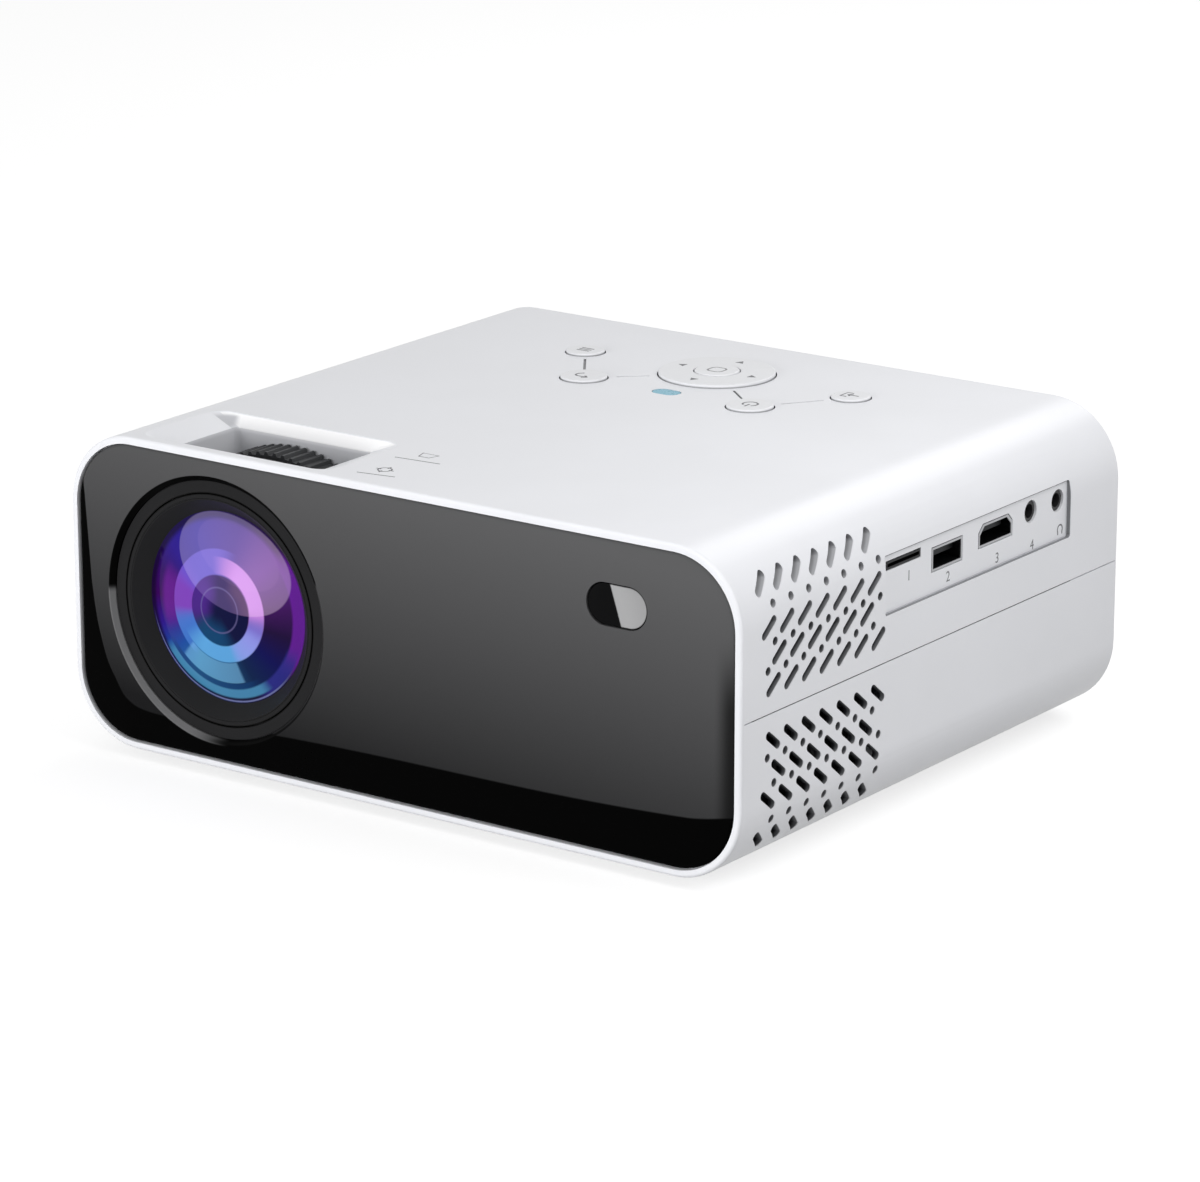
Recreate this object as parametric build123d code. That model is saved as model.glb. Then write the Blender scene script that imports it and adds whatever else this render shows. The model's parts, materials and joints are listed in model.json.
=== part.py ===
from build123d import *

import os
from math import atan2, cos, degrees, hypot, pi, radians, sin, sqrt

# A compact home projector: white two-part casing, dark front panel with the lens at one side,
# two thumb rings in a well on top, keys, side sockets and vents.
# Millimetres. X runs to the viewer's right, Y to the back, Z up. The origin lies on the table
# under the middle of the body.

# Body
BODY_WIDTH = 200.0
BODY_DEPTH = 168.0
BODY_HEIGHT = 80.0
CORNER_RADIUS = 19.0
WALL = 1.9
FOOT_HEIGHT = 2.5
EDGE_ROUND = 0.9

# Fits: fixed pieces that slot together, turning and sliding pieces, keys in their holes,
# neighbouring moving pieces end to end, and the open line between the casing halves
FIT = 0.2
RUN = 0.15
KEY_GAP = 0.35
AIR = 0.5
SEAM_GAP = 0.3

# Front frame and front panel
RIM_WIDTH = 1.84
FRAME_DEPTH = 1.2
SPIGOT_INSET = 0.9
PANEL_INSET = 0.4
PANEL_THICKNESS = 1.6
PANEL_ROLL = 1.1
LEDGE = 1.4
LEDGE_THICKNESS = 1.0

# Lens: its radii step inwards from the crown of the thumb rings
LENS_FROM_SIDE = 45.0
LENS_HOLE_STEP = 2.4
LENS_HOLE_CHAMFER = 1.0
BEZEL_WIDTH = 3.5
BEZEL_DEPTH = 1.3
BEZEL_FLANGE = 2.2
BEZEL_FLANGE_THICKNESS = 1.4
BARREL_LENGTH = 34.0
GLASS_STEP = 4.3
RETAINER_STEP = 1.1
RETAINER_THICKNESS = 3.5
RETAINER_LIP = 0.6
FRONT_DOME = 3.4
FRONT_EDGE = 3.0
MIDDLE_GLASS = 6.0
REAR_GLASS = 5.0
SPACER_WALL = 1.6
REAR_LIP = 2.4
MOUNT_WALL = 2.0
MOUNT_FLANGE = 3.0

# Focusing: the ring's helical grooves drive pins on the barrel along straight slots in the mount
FOCUS_PIN_COUNT = 3
FOCUS_PIN_RADIUS = 1.5
FOCUS_PIN_BACK = 13.3
FOCUS_LEAD = 24.0
FOCUS_FORWARD_DEG = 90.0
FOCUS_BACK_DEG = 30.0
GROOVE_CLEARANCE = 0.35
GROOVE_FLOOR = 0.8

# Thumb rings
RING_BELOW_TOP = 5.0
RIB_COUNT = 84
RIB_HEIGHT = 0.8
RIB_SHARE = 0.55
RIB_FLANK = 0.15
FOCUS_RIB_LENGTH = 12.0
FOCUS_SHOULDER = 1.5
KEYSTONE_WIDTH = 9.0

# Thumb well in the top
WELL_FROM_SIDE = 19.0
WELL_WIDTH = 59.0
WELL_FRONT = 3.3
WELL_BACK = 34.0
WELL_CORNER = 5.0
WELL_FOOT_CORNER = 1.5
WELL_BEVEL_LEFT = 7.2
WELL_BEVEL_RIGHT = 9.0
WELL_BEVEL_BACK = 1.2
WELL_BEVEL_DROP = 3.2
WELL_DEPTH = 10.1
WELL_WALL = 1.6

# Keystone linkage: ring, link and lever form a parallelogram
KEYSTONE_ARM_STEP = 1.0
LINK_PIN_RADIUS = 1.1
LINK_HOLE_GAP = 0.3
LINK_BAR = 2.4
LINK_EYE_RADIUS = 2.3
EAR_THICKNESS = 2.0
LINK_THICKNESS = 2.2
LEVER_THICKNESS = 2.0
LEVER_WIDTH = 6.0

# Optical housing
ENGINE_WALL = 2.0
TUNNEL_HALF_WIDTH = 31.5
TUNNEL_BELOW_TOP = 14.0
MIRROR_LENGTH = 76.0
MIRROR_MARGIN = 2.0
MIRROR_THICKNESS = 2.0
ENGINE_LEFT = 34.0
ENGINE_SHARE = 0.618
RAIL = 1.2
FRESNEL_THICKNESS = 2.0
FRESNEL_SPACING = 11.0
PANEL_FROM_LENS = 47.0
DISPLAY_WIDTH = 54.0
DISPLAY_HEIGHT = 36.0
DISPLAY_THICKNESS = 2.0
DISPLAY_BORDER = 3.0
DISPLAY_FRAME_THICKNESS = 4.0
SHAFT_RADIUS = 2.0
CONDENSER_MARGIN = 3.0
CONDENSER_THICKNESS = 12.0
CONDENSER_FROM_END = 14.0
HOLDER_THICKNESS = 2.5
LIGHT_PLATE = 36.0
LIGHT_PLATE_THICKNESS = 2.0
LIGHT_SPOT_RADIUS = 9.0
LIGHT_SPOT_HEIGHT = 1.2

# Cooling
SINK_BASE = 4.0
SINK_FROM_FAN = 5.0
SINK_FINS = 11
SINK_FIN_THICKNESS = 1.6
FAN_SIZE = 50.0
FAN_THICKNESS = 15.0
FAN_FROM_FRONT = 33.0
FAN_FROM_WALL = 2.0
FAN_BORE_RADIUS = 23.8
FAN_HUB_RADIUS = 10.0
FAN_BLADES = 7
FAN_BLADE_THICKNESS = 1.2
FAN_BLADE_ANGLE = 38.0
FAN_TIP_GAP = 0.8
FAN_BACK_PLATE = 2.2

# Side vents: slanted slots and dots in rows above the seam, mirrored below it
VENT_FROM_FRONT = 11.0
VENT_PITCH = 7.36
VENT_SLOT_LENGTH = 7.0
VENT_SLOT_WIDTH = 2.1
VENT_SLANT = 38.0
VENT_DOT_RADIUS = 1.05
VENT_CUT = 14.0
# Each row: height above the seam, shift towards the back, number of openings
VENT_SLOT_ROWS = ((6.7, 2.0, 7), (13.9, 4.3, 6), (20.7, 0.0, 7), (30.7, 0.0, 7))
VENT_DOT_ROWS = ((10.4, -0.3, 7), (17.0, 2.5, 7), (25.9, 2.4, 7))

# Side sockets
PORT_FROM_FAN = 2.0
PORT_END = 4.5
PORT_BELOW_TOP = 28.7
PORT_HEIGHT = 14.7
PORT_DEPTH = 1.3
PORT_CORNER = 0.8
PORT_PLATE_THICKNESS = 3.2
PORT_FLANGE = 2.0
PORT_FLANGE_THICKNESS = 1.5
# Centre of each socket: distance from the recess's front end, height above the recess's floor
CARD_SPOT = (9.5, 11.7)
DATA_SPOT = (29.0, 8.45)
VIDEO_SPOT = (51.0, 9.2)
AV_SPOT = (67.3, 10.3)
PHONES_SPOT = (80.0, 10.2)
CARD_SIZE = (15.0, 2.0)
DATA_SIZE = (13.6, 5.9)
VIDEO_SIZE = (15.4, 5.6)
VIDEO_CUT = 2.0
SOCKET_DEPTH = 14.0
SOCKET_SHELL = 0.55
SOCKET_TONGUE = 1.8
JACK_HOLE_RADIUS = 2.85
JACK_BARREL_RADIUS = 2.6
JACK_BORE_RADIUS = 1.8
JACK_BODY = 9.0
JACK_ROOF = 3.4
BOARD_THICKNESS = 1.6
MAIN_BOARD_GAP = 2.5
MAIN_BOARD_BACK_SHARE = 0.6
MAIN_BOARD_FROM_POWER = 5.8
MAIN_BOARD_TONGUE = 14.0

# Keys on top, measured from the back edge
KEY_TRAVEL = 0.5
KEY_OVERTRAVEL = 0.1
KEY_RISE = 0.7
KEY_ROUND = 0.45
KEY_FLANGE = 1.0
KEY_FLANGE_THICKNESS = 1.2
KEY_STEM_RADIUS = 2.0
FAR_KEY_RADIUS = 5.0
FAR_KEY_SPOT = (41.0, 33.0)
NEAR_KEY_RADIUS = 6.0
NEAR_KEY_SPOT = (25.5, 55.2)
NAV_FROM_BACK = 32.5
NAV_RADIUS = 15.0
NAV_RISE = 0.9
NAV_PLATE = 2.0
NAV_SKIRT = 1.6
NAV_FLANGE_DROP = 0.7
NAV_POST_RADIUS = 12.0
NAV_POST = 2.4
NAV_PIN_ROOM = 0.75
CENTRE_KEY_RADIUS = 5.8
CENTRE_KEY_RISE = 1.2
GIMBAL_INNER = 7.6
GIMBAL_OUTER = 9.4
GIMBAL_THICKNESS = 1.6
GIMBAL_DROP = 2.6
GIMBAL_PIN_RADIUS = 0.6
GIMBAL_LUG = 1.6
GIMBAL_PIN_CLEARANCE = 0.12
LUG_WIDTH = 3.0
LUG_FROM_RING = 3.0
LUG_DROP = 3.8
KEY_BOARD_DROP = 7.1
KEY_BOARD_LENGTH = 96.0
KEY_BOARD_WIDTH = 46.0
KEY_BOARD_FROM_BACK = 16.0
KEY_POST_RADIUS = 2.2
KEY_POST_INSET = 4.0
SWITCH_SIZE = 4.5
SWITCH_HEIGHT = 2.2
PLUNGER_RADIUS = 1.2
PLUNGER_HEIGHT = 0.7
INDICATOR_LENGTH = 7.6
INDICATOR_WIDTH = 5.0
INDICATOR_FROM_BACK = 55.0
INDICATOR_SINK = 0.1
LINK_LINE_WIDTH = 0.7
LINK_LINE_DEPTH = 0.3
LINK_LINE_MARGIN = 2.2

# Remote-control window in the front panel
SENSOR_FROM_SIDE = 35.1
SENSOR_ABOVE_SEAM = 22.3
SENSOR_LENGTH = 17.3
SENSOR_HEIGHT = 10.5
SENSOR_INSET = 0.3
SENSOR_FLANGE = 1.5
RECEIVER_SIZE = (7.0, 5.0, 6.0)

# Rear panel, power supply and loudspeaker
REAR_PANEL_INSET = 1.0
REAR_PANEL_THICKNESS = 2.0
REAR_VENT_COLUMNS = 2
REAR_VENT_ROWS = 7
REAR_VENT_LENGTH = 34.0
REAR_VENT_WIDTH = 2.2
REAR_VENT_PITCH = 5.0
REAR_VENT_GAP = 6.0
REAR_VENT_CENTRE = 42.0
INLET_X = -46.0
INLET_HEIGHT = 20.0
INLET_SIZE = (20.0, 14.0)
INLET_DEPTH = 18.0
INLET_MOUTH = (14.6, 8.4)
INLET_MOUTH_DEPTH = 13.0
INLET_PIN_SPACING = 8.6
INLET_PIN_RADIUS = 1.2
POWER_BOARD_LENGTH = 62.0
POWER_BOARD_X = -39.0
POWER_BOARD_GAP = 4.0
POWER_BOARD_FROM_BACK = 14.0
POWER_BOARD_HEIGHT = 3.6
TRANSFORMER_SIZE = (24.0, 18.0, 18.0)
CAPACITOR_RADIUS = 7.0
CAPACITOR_HEIGHT = 22.0
SPEAKER_SIZE = 38.0
SPEAKER_PLATE = 3.0
SPEAKER_FROM_BACK = 33.0
SPEAKER_CONE_DEPTH = 9.0
SPEAKER_CONE_RADIUS = 16.5
SPEAKER_NECK_RADIUS = 10.0
SPEAKER_MAGNET_RADIUS = 13.0
SPEAKER_MAGNET = 6.0

# Underside
FOOT_RADIUS = 7.0
FOOT_SEAT = 0.8
FOOT_FROM_SIDE = 30.0
FOOT_FROM_END = 24.0
TILT_FROM_FRONT = 22.0
TILT_STEM_RADIUS = 4.0
TILT_PAD_RADIUS = 9.0
TILT_PAD_HEIGHT = 5.5
TILT_CLEAR = 0.8
TILT_STEM_LENGTH = 22.0
TILT_BOSS_WALL = 2.6
TRIPOD_Y = 10.0
TRIPOD_BORE_RADIUS = 2.6
TRIPOD_INSERT_RADIUS = 5.0
TRIPOD_INSERT_LENGTH = 8.0
TRIPOD_BOSS_WALL = 2.6
SCREW_RADIUS = 1.5
SCREW_HEAD_RADIUS = 2.8
SCREW_HEAD = 2.0
SCREW_BITE = 9.0
SCREW_BOSS_RADIUS = 4.0
SCREW_RECESS = 26.0
# Places of the screws and stands, across and along, from the edge or axis that each one follows
BACK_SCREW = (20.0, 10.0)
FRONT_SCREW = (26.0, 14.0)
LEFT_SCREW = (24.0, 4.0)
LENS_STANDS = ((-14.0, -26.0), (22.0, 20.0))
LIGHT_STANDS = ((-16.0, -24.0), (-8.0, 24.0))
BOARD_STAND_INSET = 6.0
TONGUE_STAND = (14.0, 2.0)
SIDE_STAND_FROM_EDGE = 24.0
STAND_RADIUS = 3.2
RIB = 2.0
LIP_HEIGHT = 2.0
LIP_THICKNESS = 1.0
LIP_ROOT = 3.0

# Main planes
BASE_Z = FOOT_HEIGHT
TOP_Z = BASE_Z + BODY_HEIGHT
MID_Z = (BASE_Z + TOP_Z) / 2
FLOOR_Z = BASE_Z + WALL
ROOF_Z = TOP_Z - WALL
SIDE_X = BODY_WIDTH / 2
INNER_X = SIDE_X - WALL
FRONT_Y = -BODY_DEPTH / 2
BACK_Y = BODY_DEPTH / 2

# Radii of the lens unit, which fills the body's height
RING_RADIUS = BODY_HEIGHT / 2 - RING_BELOW_TOP
RING_ROOT = RING_RADIUS - RIB_HEIGHT
LENS_HOLE_RADIUS = RING_RADIUS - LENS_HOLE_STEP
BEZEL_RADIUS = LENS_HOLE_RADIUS - FIT
BEZEL_FLANGE_RADIUS = BEZEL_RADIUS + BEZEL_FLANGE
BARREL_RADIUS = LENS_HOLE_RADIUS - BEZEL_WIDTH
RETAINER_RADIUS = BARREL_RADIUS - RETAINER_STEP
GLASS_RADIUS = BARREL_RADIUS - GLASS_STEP
RETAINER_OPENING = GLASS_RADIUS - RETAINER_LIP
MOUNT_BORE = BARREL_RADIUS + RUN
MOUNT_RADIUS = MOUNT_BORE + MOUNT_WALL
MOUNT_FLANGE_RADIUS = RING_RADIUS + AIR
RING_BORE = MOUNT_RADIUS + RUN

# Lens stack from front to back
LENS_X = -SIDE_X + LENS_FROM_SIDE
LENS_Z = MID_Z
FRAME_BACK_Y = FRONT_Y + FRAME_DEPTH
PANEL_FRONT_Y = FRONT_Y + PANEL_INSET
PANEL_BACK_Y = PANEL_FRONT_Y + PANEL_THICKNESS
SPIGOT_BACK_Y = PANEL_BACK_Y + LEDGE_THICKNESS
BEZEL_FRONT_Y = PANEL_FRONT_Y + BEZEL_DEPTH
BEZEL_BACK_Y = PANEL_BACK_Y + BEZEL_FLANGE_THICKNESS
BARREL_FRONT_Y = BEZEL_FRONT_Y
BARREL_BACK_Y = BARREL_FRONT_Y + BARREL_LENGTH
RETAINER_BACK_Y = BARREL_FRONT_Y + RETAINER_THICKNESS
FOCUS_FRONT_Y = BEZEL_BACK_Y + AIR
FOCUS_RIB_BACK_Y = FOCUS_FRONT_Y + FOCUS_RIB_LENGTH
WELL_FRONT_Y = FRONT_Y + WELL_FRONT
WELL_BACK_Y = FRONT_Y + WELL_BACK
KEYSTONE_BACK_Y = WELL_BACK_Y - WELL_BEVEL_BACK - AIR
KEYSTONE_FRONT_Y = KEYSTONE_BACK_Y - KEYSTONE_WIDTH
FOCUS_BACK_Y = KEYSTONE_FRONT_Y - AIR
EAR_BACK_Y = KEYSTONE_BACK_Y + EAR_THICKNESS
LINK_FRONT_Y = EAR_BACK_Y + AIR
LINK_BACK_Y = LINK_FRONT_Y + LINK_THICKNESS
LEVER_FRONT_Y = LINK_BACK_Y + AIR
LEVER_BACK_Y = LEVER_FRONT_Y + LEVER_THICKNESS
FLANGE_FRONT_Y = LEVER_FRONT_Y
ENGINE_FRONT_Y = FLANGE_FRONT_Y + MOUNT_FLANGE
FOCUS_PIN_Y = BARREL_FRONT_Y + FOCUS_PIN_BACK
LEAD_PER_DEG = FOCUS_LEAD / 360.0
FOCUS_FORWARD = FOCUS_FORWARD_DEG * LEAD_PER_DEG
FOCUS_RETRACT = FOCUS_BACK_DEG * LEAD_PER_DEG
GROOVE_TOP = RING_ROOT - GROOVE_FLOOR
FOCUS_PIN_TOP = GROOVE_TOP - FIT

# Light path: along X to the mirror, then out through the lens
TUNNEL_HALF_HEIGHT = BODY_HEIGHT / 2 - TUNNEL_BELOW_TOP
MIRROR_HEIGHT = 2 * (TUNNEL_HALF_HEIGHT - MIRROR_MARGIN)
CONDENSER_RADIUS = TUNNEL_HALF_HEIGHT - CONDENSER_MARGIN
PATH_Y = ENGINE_FRONT_Y + ENGINE_WALL + TUNNEL_HALF_WIDTH
FAN_RIGHT_X = INNER_X - FAN_FROM_WALL
FAN_LEFT_X = FAN_RIGHT_X - FAN_THICKNESS
SINK_END_X = FAN_LEFT_X - SINK_FROM_FAN
DISPLAY_X = LENS_X + PANEL_FROM_LENS
ENGINE_LEFT_X = LENS_X - ENGINE_LEFT
ENGINE_END_X = DISPLAY_X + (SINK_END_X - DISPLAY_X) * ENGINE_SHARE
ENGINE_BACK_Y = PATH_Y + TUNNEL_HALF_WIDTH + ENGINE_WALL
ENGINE_BASE_Z = LENS_Z - TUNNEL_HALF_HEIGHT - ENGINE_WALL
ENGINE_RIM_Z = LENS_Z + TUNNEL_HALF_HEIGHT
CONDENSER_X = ENGINE_END_X - CONDENSER_FROM_END
KEYSTONE_ARM = RING_RADIUS - KEYSTONE_ARM_STEP
LINK_Z = LENS_Z - KEYSTONE_ARM

# Sockets and boards
FAN_Y = FRONT_Y + FAN_FROM_FRONT
PORT_FRONT_Y = FAN_Y + FAN_SIZE / 2 + PORT_FROM_FAN
PORT_LENGTH = PHONES_SPOT[0] + PORT_END
PORT_END_Y = PORT_FRONT_Y + PORT_LENGTH
PORT_BASE_Z = TOP_Z - PORT_BELOW_TOP
PORT_FACE_X = SIDE_X - PORT_DEPTH
PORT_BACK_X = PORT_FACE_X - PORT_PLATE_THICKNESS
BOARD_TOP_Z = PORT_BASE_Z + DATA_SPOT[1] - DATA_SIZE[1] / 2
BOARD_BASE_Z = BOARD_TOP_Z - BOARD_THICKNESS
BOARD_EDGE_X = PORT_BACK_X - PORT_FLANGE_THICKNESS - FIT
REAR_PANEL_BACK_Y = BACK_Y - REAR_PANEL_INSET
REAR_PANEL_FRONT_Y = REAR_PANEL_BACK_Y - REAR_PANEL_THICKNESS
BOARD_LEFT_X = POWER_BOARD_X + POWER_BOARD_LENGTH / 2 + MAIN_BOARD_FROM_POWER
BOARD_FRONT_Y = ENGINE_BACK_Y + MAIN_BOARD_GAP
LEDGE_FRONT_Y = REAR_PANEL_FRONT_Y - LEDGE_THICKNESS
BOARD_BACK_Y = PORT_END_Y + (LEDGE_FRONT_Y - PORT_END_Y) * MAIN_BOARD_BACK_SHARE
KEY_BOARD_TOP_Z = ROOF_Z - KEY_BOARD_DROP
PLUNGER_TOP_Z = KEY_BOARD_TOP_Z + SWITCH_HEIGHT + PLUNGER_HEIGHT
STEM_BASE_Z = PLUNGER_TOP_Z + KEY_TRAVEL + KEY_OVERTRAVEL
NAV_Y = BACK_Y - NAV_FROM_BACK
PIVOT_Z = ROOF_Z - GIMBAL_DROP
SPEAKER_Y = BACK_Y - SPEAKER_FROM_BACK

# Places of repeated features
KEY_SPOTS = {
    "key_left_far": (-FAR_KEY_SPOT[0], BACK_Y - FAR_KEY_SPOT[1], FAR_KEY_RADIUS),
    "key_left_near": (-NEAR_KEY_SPOT[0], BACK_Y - NEAR_KEY_SPOT[1], NEAR_KEY_RADIUS),
    "key_right_near": (NEAR_KEY_SPOT[0], BACK_Y - NEAR_KEY_SPOT[1], NEAR_KEY_RADIUS),
    "key_right_far": (FAR_KEY_SPOT[0], BACK_Y - FAR_KEY_SPOT[1], FAR_KEY_RADIUS),
}
NAV_DIRECTIONS = ((1, 0), (0, 1), (-1, 0), (0, -1))
FOOT_SPOTS = [
    (side * (SIDE_X - FOOT_FROM_SIDE), end * (BACK_Y - FOOT_FROM_END))
    for side in (-1, 1)
    for end in (-1, 1)
]
SCREW_SPOTS = (
    (-SIDE_X + BACK_SCREW[0], BACK_Y - BACK_SCREW[1]),
    (SIDE_X - BACK_SCREW[0], BACK_Y - BACK_SCREW[1]),
    (SIDE_X - FRONT_SCREW[0], FRONT_Y + FRONT_SCREW[1]),
    (-SIDE_X + LEFT_SCREW[0], PATH_Y - LEFT_SCREW[1]),
)
ENGINE_STANDS = [(LENS_X + across, PATH_Y + along) for across, along in LENS_STANDS]
ENGINE_STANDS += [(ENGINE_END_X + across, PATH_Y + along) for across, along in LIGHT_STANDS]
BOARD_STANDS = (
    (BOARD_LEFT_X + BOARD_STAND_INSET, BOARD_FRONT_Y + BOARD_STAND_INSET),
    (BOARD_LEFT_X + BOARD_STAND_INSET, BOARD_BACK_Y - BOARD_STAND_INSET),
    (BOARD_EDGE_X - SIDE_STAND_FROM_EDGE, BOARD_BACK_Y - BOARD_STAND_INSET),
    (SIDE_X - TONGUE_STAND[0], BOARD_FRONT_Y - TONGUE_STAND[1]),
)


def span(x, y, z):
    """A block between two limits on each axis."""
    middle = [(low + high) / 2 for low, high in (x, y, z)]
    size = [high - low for low, high in (x, y, z)]
    return Pos(*middle) * Box(*size)


def rod_x(radius, x0, x1, y, z):
    return Pos((x0 + x1) / 2, y, z) * Rot(0, 90, 0) * Cylinder(radius, x1 - x0)


def rod_y(radius, y0, y1, x=LENS_X, z=LENS_Z):
    return Pos(x, (y0 + y1) / 2, z) * Rot(90, 0, 0) * Cylinder(radius, y1 - y0)


def rod_z(radius, z0, z1, x, y):
    return Pos(x, y, (z0 + z1) / 2) * Cylinder(radius, z1 - z0)


def tube_y(outer, inner, y0, y1):
    """A tube on the lens axis."""
    return rod_y(outer, y0, y1) - rod_y(inner, y0, y1)


def slab_y(face, y0, y1):
    """A face drawn as seen from the front, X across and Z up, made solid from y0 back to y1."""
    plane = Plane(origin=(0, y1, 0), x_dir=(1, 0, 0), z_dir=(0, -1, 0))
    return extrude(plane * face, amount=y1 - y0)


def slab_x(face, x0, x1):
    """A face drawn as seen from the right, Y across and Z up, made solid from x0 to x1."""
    plane = Plane(origin=(x0, 0, 0), x_dir=(0, 1, 0), z_dir=(1, 0, 0))
    return extrude(plane * face, amount=x1 - x0)


def slab_z(face, z0, z1):
    return extrude(Plane.XY.offset(z0) * face, amount=z1 - z0)


def profile(inset):
    """The body's rounded outline from the front, drawn in by an inset."""
    size = (BODY_WIDTH - 2 * inset, BODY_HEIGHT - 2 * inset)
    return Pos(0, MID_Z) * RectangleRounded(*size, CORNER_RADIUS - inset)


def hoop(outer_inset, inner_inset, y0, y1):
    return slab_y(profile(outer_inset) - profile(inner_inset), y0, y1)


def vent_face():
    """Slanted slots and dots of one casing half, above the seam."""
    face = Sketch()
    slot = Rot(0, 0, VENT_SLANT) * SlotOverall(VENT_SLOT_LENGTH, VENT_SLOT_WIDTH)
    for opening, rows in ((slot, VENT_SLOT_ROWS), (Circle(VENT_DOT_RADIUS), VENT_DOT_ROWS)):
        for rise, shift, count in rows:
            for step in range(count):
                y = FRONT_Y + VENT_FROM_FRONT + shift + step * VENT_PITCH
                face += Pos(y, MID_Z + rise) * opening
    return face


def vents():
    """Vent openings of the upper half: right side near the front, left side near the back."""
    right = slab_x(vent_face(), SIDE_X - VENT_CUT, SIDE_X + WALL)
    return right + Rot(0, 0, 180) * right


def lower_vents():
    return mirror(vents(), about=Plane.XY.offset(MID_Z))


def well_outline(grow, bevel):
    """Outline of the thumb well, at the top when bevel is 0 and at the foot of the bevels when 1."""
    x0 = -SIDE_X + WELL_FROM_SIDE + bevel * WELL_BEVEL_LEFT - grow
    x1 = -SIDE_X + WELL_FROM_SIDE + WELL_WIDTH - bevel * WELL_BEVEL_RIGHT + grow
    y0 = WELL_FRONT_Y - grow
    y1 = WELL_BACK_Y - bevel * WELL_BEVEL_BACK + grow
    corner = grow + (WELL_FOOT_CORNER if bevel else WELL_CORNER)
    return Pos((x0 + x1) / 2, (y0 + y1) / 2) * RectangleRounded(x1 - x0, y1 - y0, corner)


def well_body(grow, drop):
    """Space of the thumb well: bevels at the top, then upright walls."""
    rim_z = TOP_Z - drop
    foot_z = rim_z - WELL_BEVEL_DROP
    rim = Plane.XY.offset(rim_z) * well_outline(grow, 0)
    foot = Plane.XY.offset(foot_z) * well_outline(grow, 1)
    return loft([foot, rim], ruled=True) + slab_z(well_outline(grow, 1), TOP_Z - WELL_DEPTH, foot_z)


def link_line(start, start_radius, end, end_radius):
    """Fine groove that joins two keys."""
    run_x = end[0] - start[0]
    run_y = end[1] - start[1]
    reach = hypot(run_x, run_y)
    first = start_radius + LINK_LINE_MARGIN
    length = reach - first - end_radius - LINK_LINE_MARGIN
    middle = (first + length / 2) / reach
    place = Pos(start[0] + run_x * middle, start[1] + run_y * middle)
    turn = Rot(0, 0, degrees(atan2(run_y, run_x)))
    line = place * turn * SlotOverall(length, LINK_LINE_WIDTH)
    return slab_z(line, TOP_Z - LINK_LINE_DEPTH, TOP_Z)


def port_face(grow):
    """Outline of the socket recess in the right side."""
    middle = (PORT_FRONT_Y + PORT_LENGTH / 2, PORT_BASE_Z + PORT_HEIGHT / 2)
    size = (PORT_LENGTH + 2 * grow, PORT_HEIGHT + 2 * grow)
    return Pos(*middle) * RectangleRounded(*size, PORT_CORNER)


def spigot_break(grow):
    """Stretch of the top edge in front of the thumb well, where the frame has no spigot."""
    margin = WELL_WALL + grow
    well_x = -SIDE_X + WELL_FROM_SIDE
    across = (well_x - margin, well_x + WELL_WIDTH + margin)
    return span(across, (FRAME_BACK_Y, SPIGOT_BACK_Y + FIT), (TOP_Z - WELL_DEPTH, TOP_Z))


def casing_sleeve():
    """Both casing halves as one tube: a rebate for the front frame, a ledge for the rear panel."""
    sleeve = slab_y(profile(0), FRAME_BACK_Y, BACK_Y)
    sleeve = fillet(sleeve.edges().group_by(Axis.Y)[-1], EDGE_ROUND)
    sleeve -= slab_y(profile(WALL), FRAME_BACK_Y, BACK_Y)
    sleeve -= slab_y(profile(SPIGOT_INSET), FRAME_BACK_Y, SPIGOT_BACK_Y + FIT) - spigot_break(0)
    return sleeve + hoop(WALL / 2, WALL + LEDGE, LEDGE_FRONT_Y, REAR_PANEL_FRONT_Y)


def half_space(z0, z1):
    return span((-BODY_WIDTH, BODY_WIDTH), (-BODY_DEPTH, BODY_DEPTH), (z0, z1))


def gimbal_lugs():
    """Two lugs under the roof that carry the rocker gimbal's outer pins."""
    lugs = []
    for side in (-1, 1):
        x = side * (NAV_RADIUS + LUG_FROM_RING)
        lug = span(
            (x - GIMBAL_LUG / 2, x + GIMBAL_LUG / 2),
            (NAV_Y - LUG_WIDTH / 2, NAV_Y + LUG_WIDTH / 2),
            (ROOF_Z - LUG_DROP, ROOF_Z + WALL / 2),
        )
        hole = rod_x(GIMBAL_PIN_RADIUS + GIMBAL_PIN_CLEARANCE, x - WALL, x + WALL, NAV_Y, PIVOT_Z)
        lugs.append(lug - hole)
    return lugs


def key_board_posts():
    """Corners of the key board, where posts hang from the roof."""
    half = KEY_BOARD_LENGTH / 2 - KEY_POST_INSET
    back = BACK_Y - KEY_BOARD_FROM_BACK - KEY_POST_INSET
    front = BACK_Y - KEY_BOARD_FROM_BACK - KEY_BOARD_WIDTH + KEY_POST_INSET
    return [(side * half, y) for side in (-1, 1) for y in (front, back)]


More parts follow.
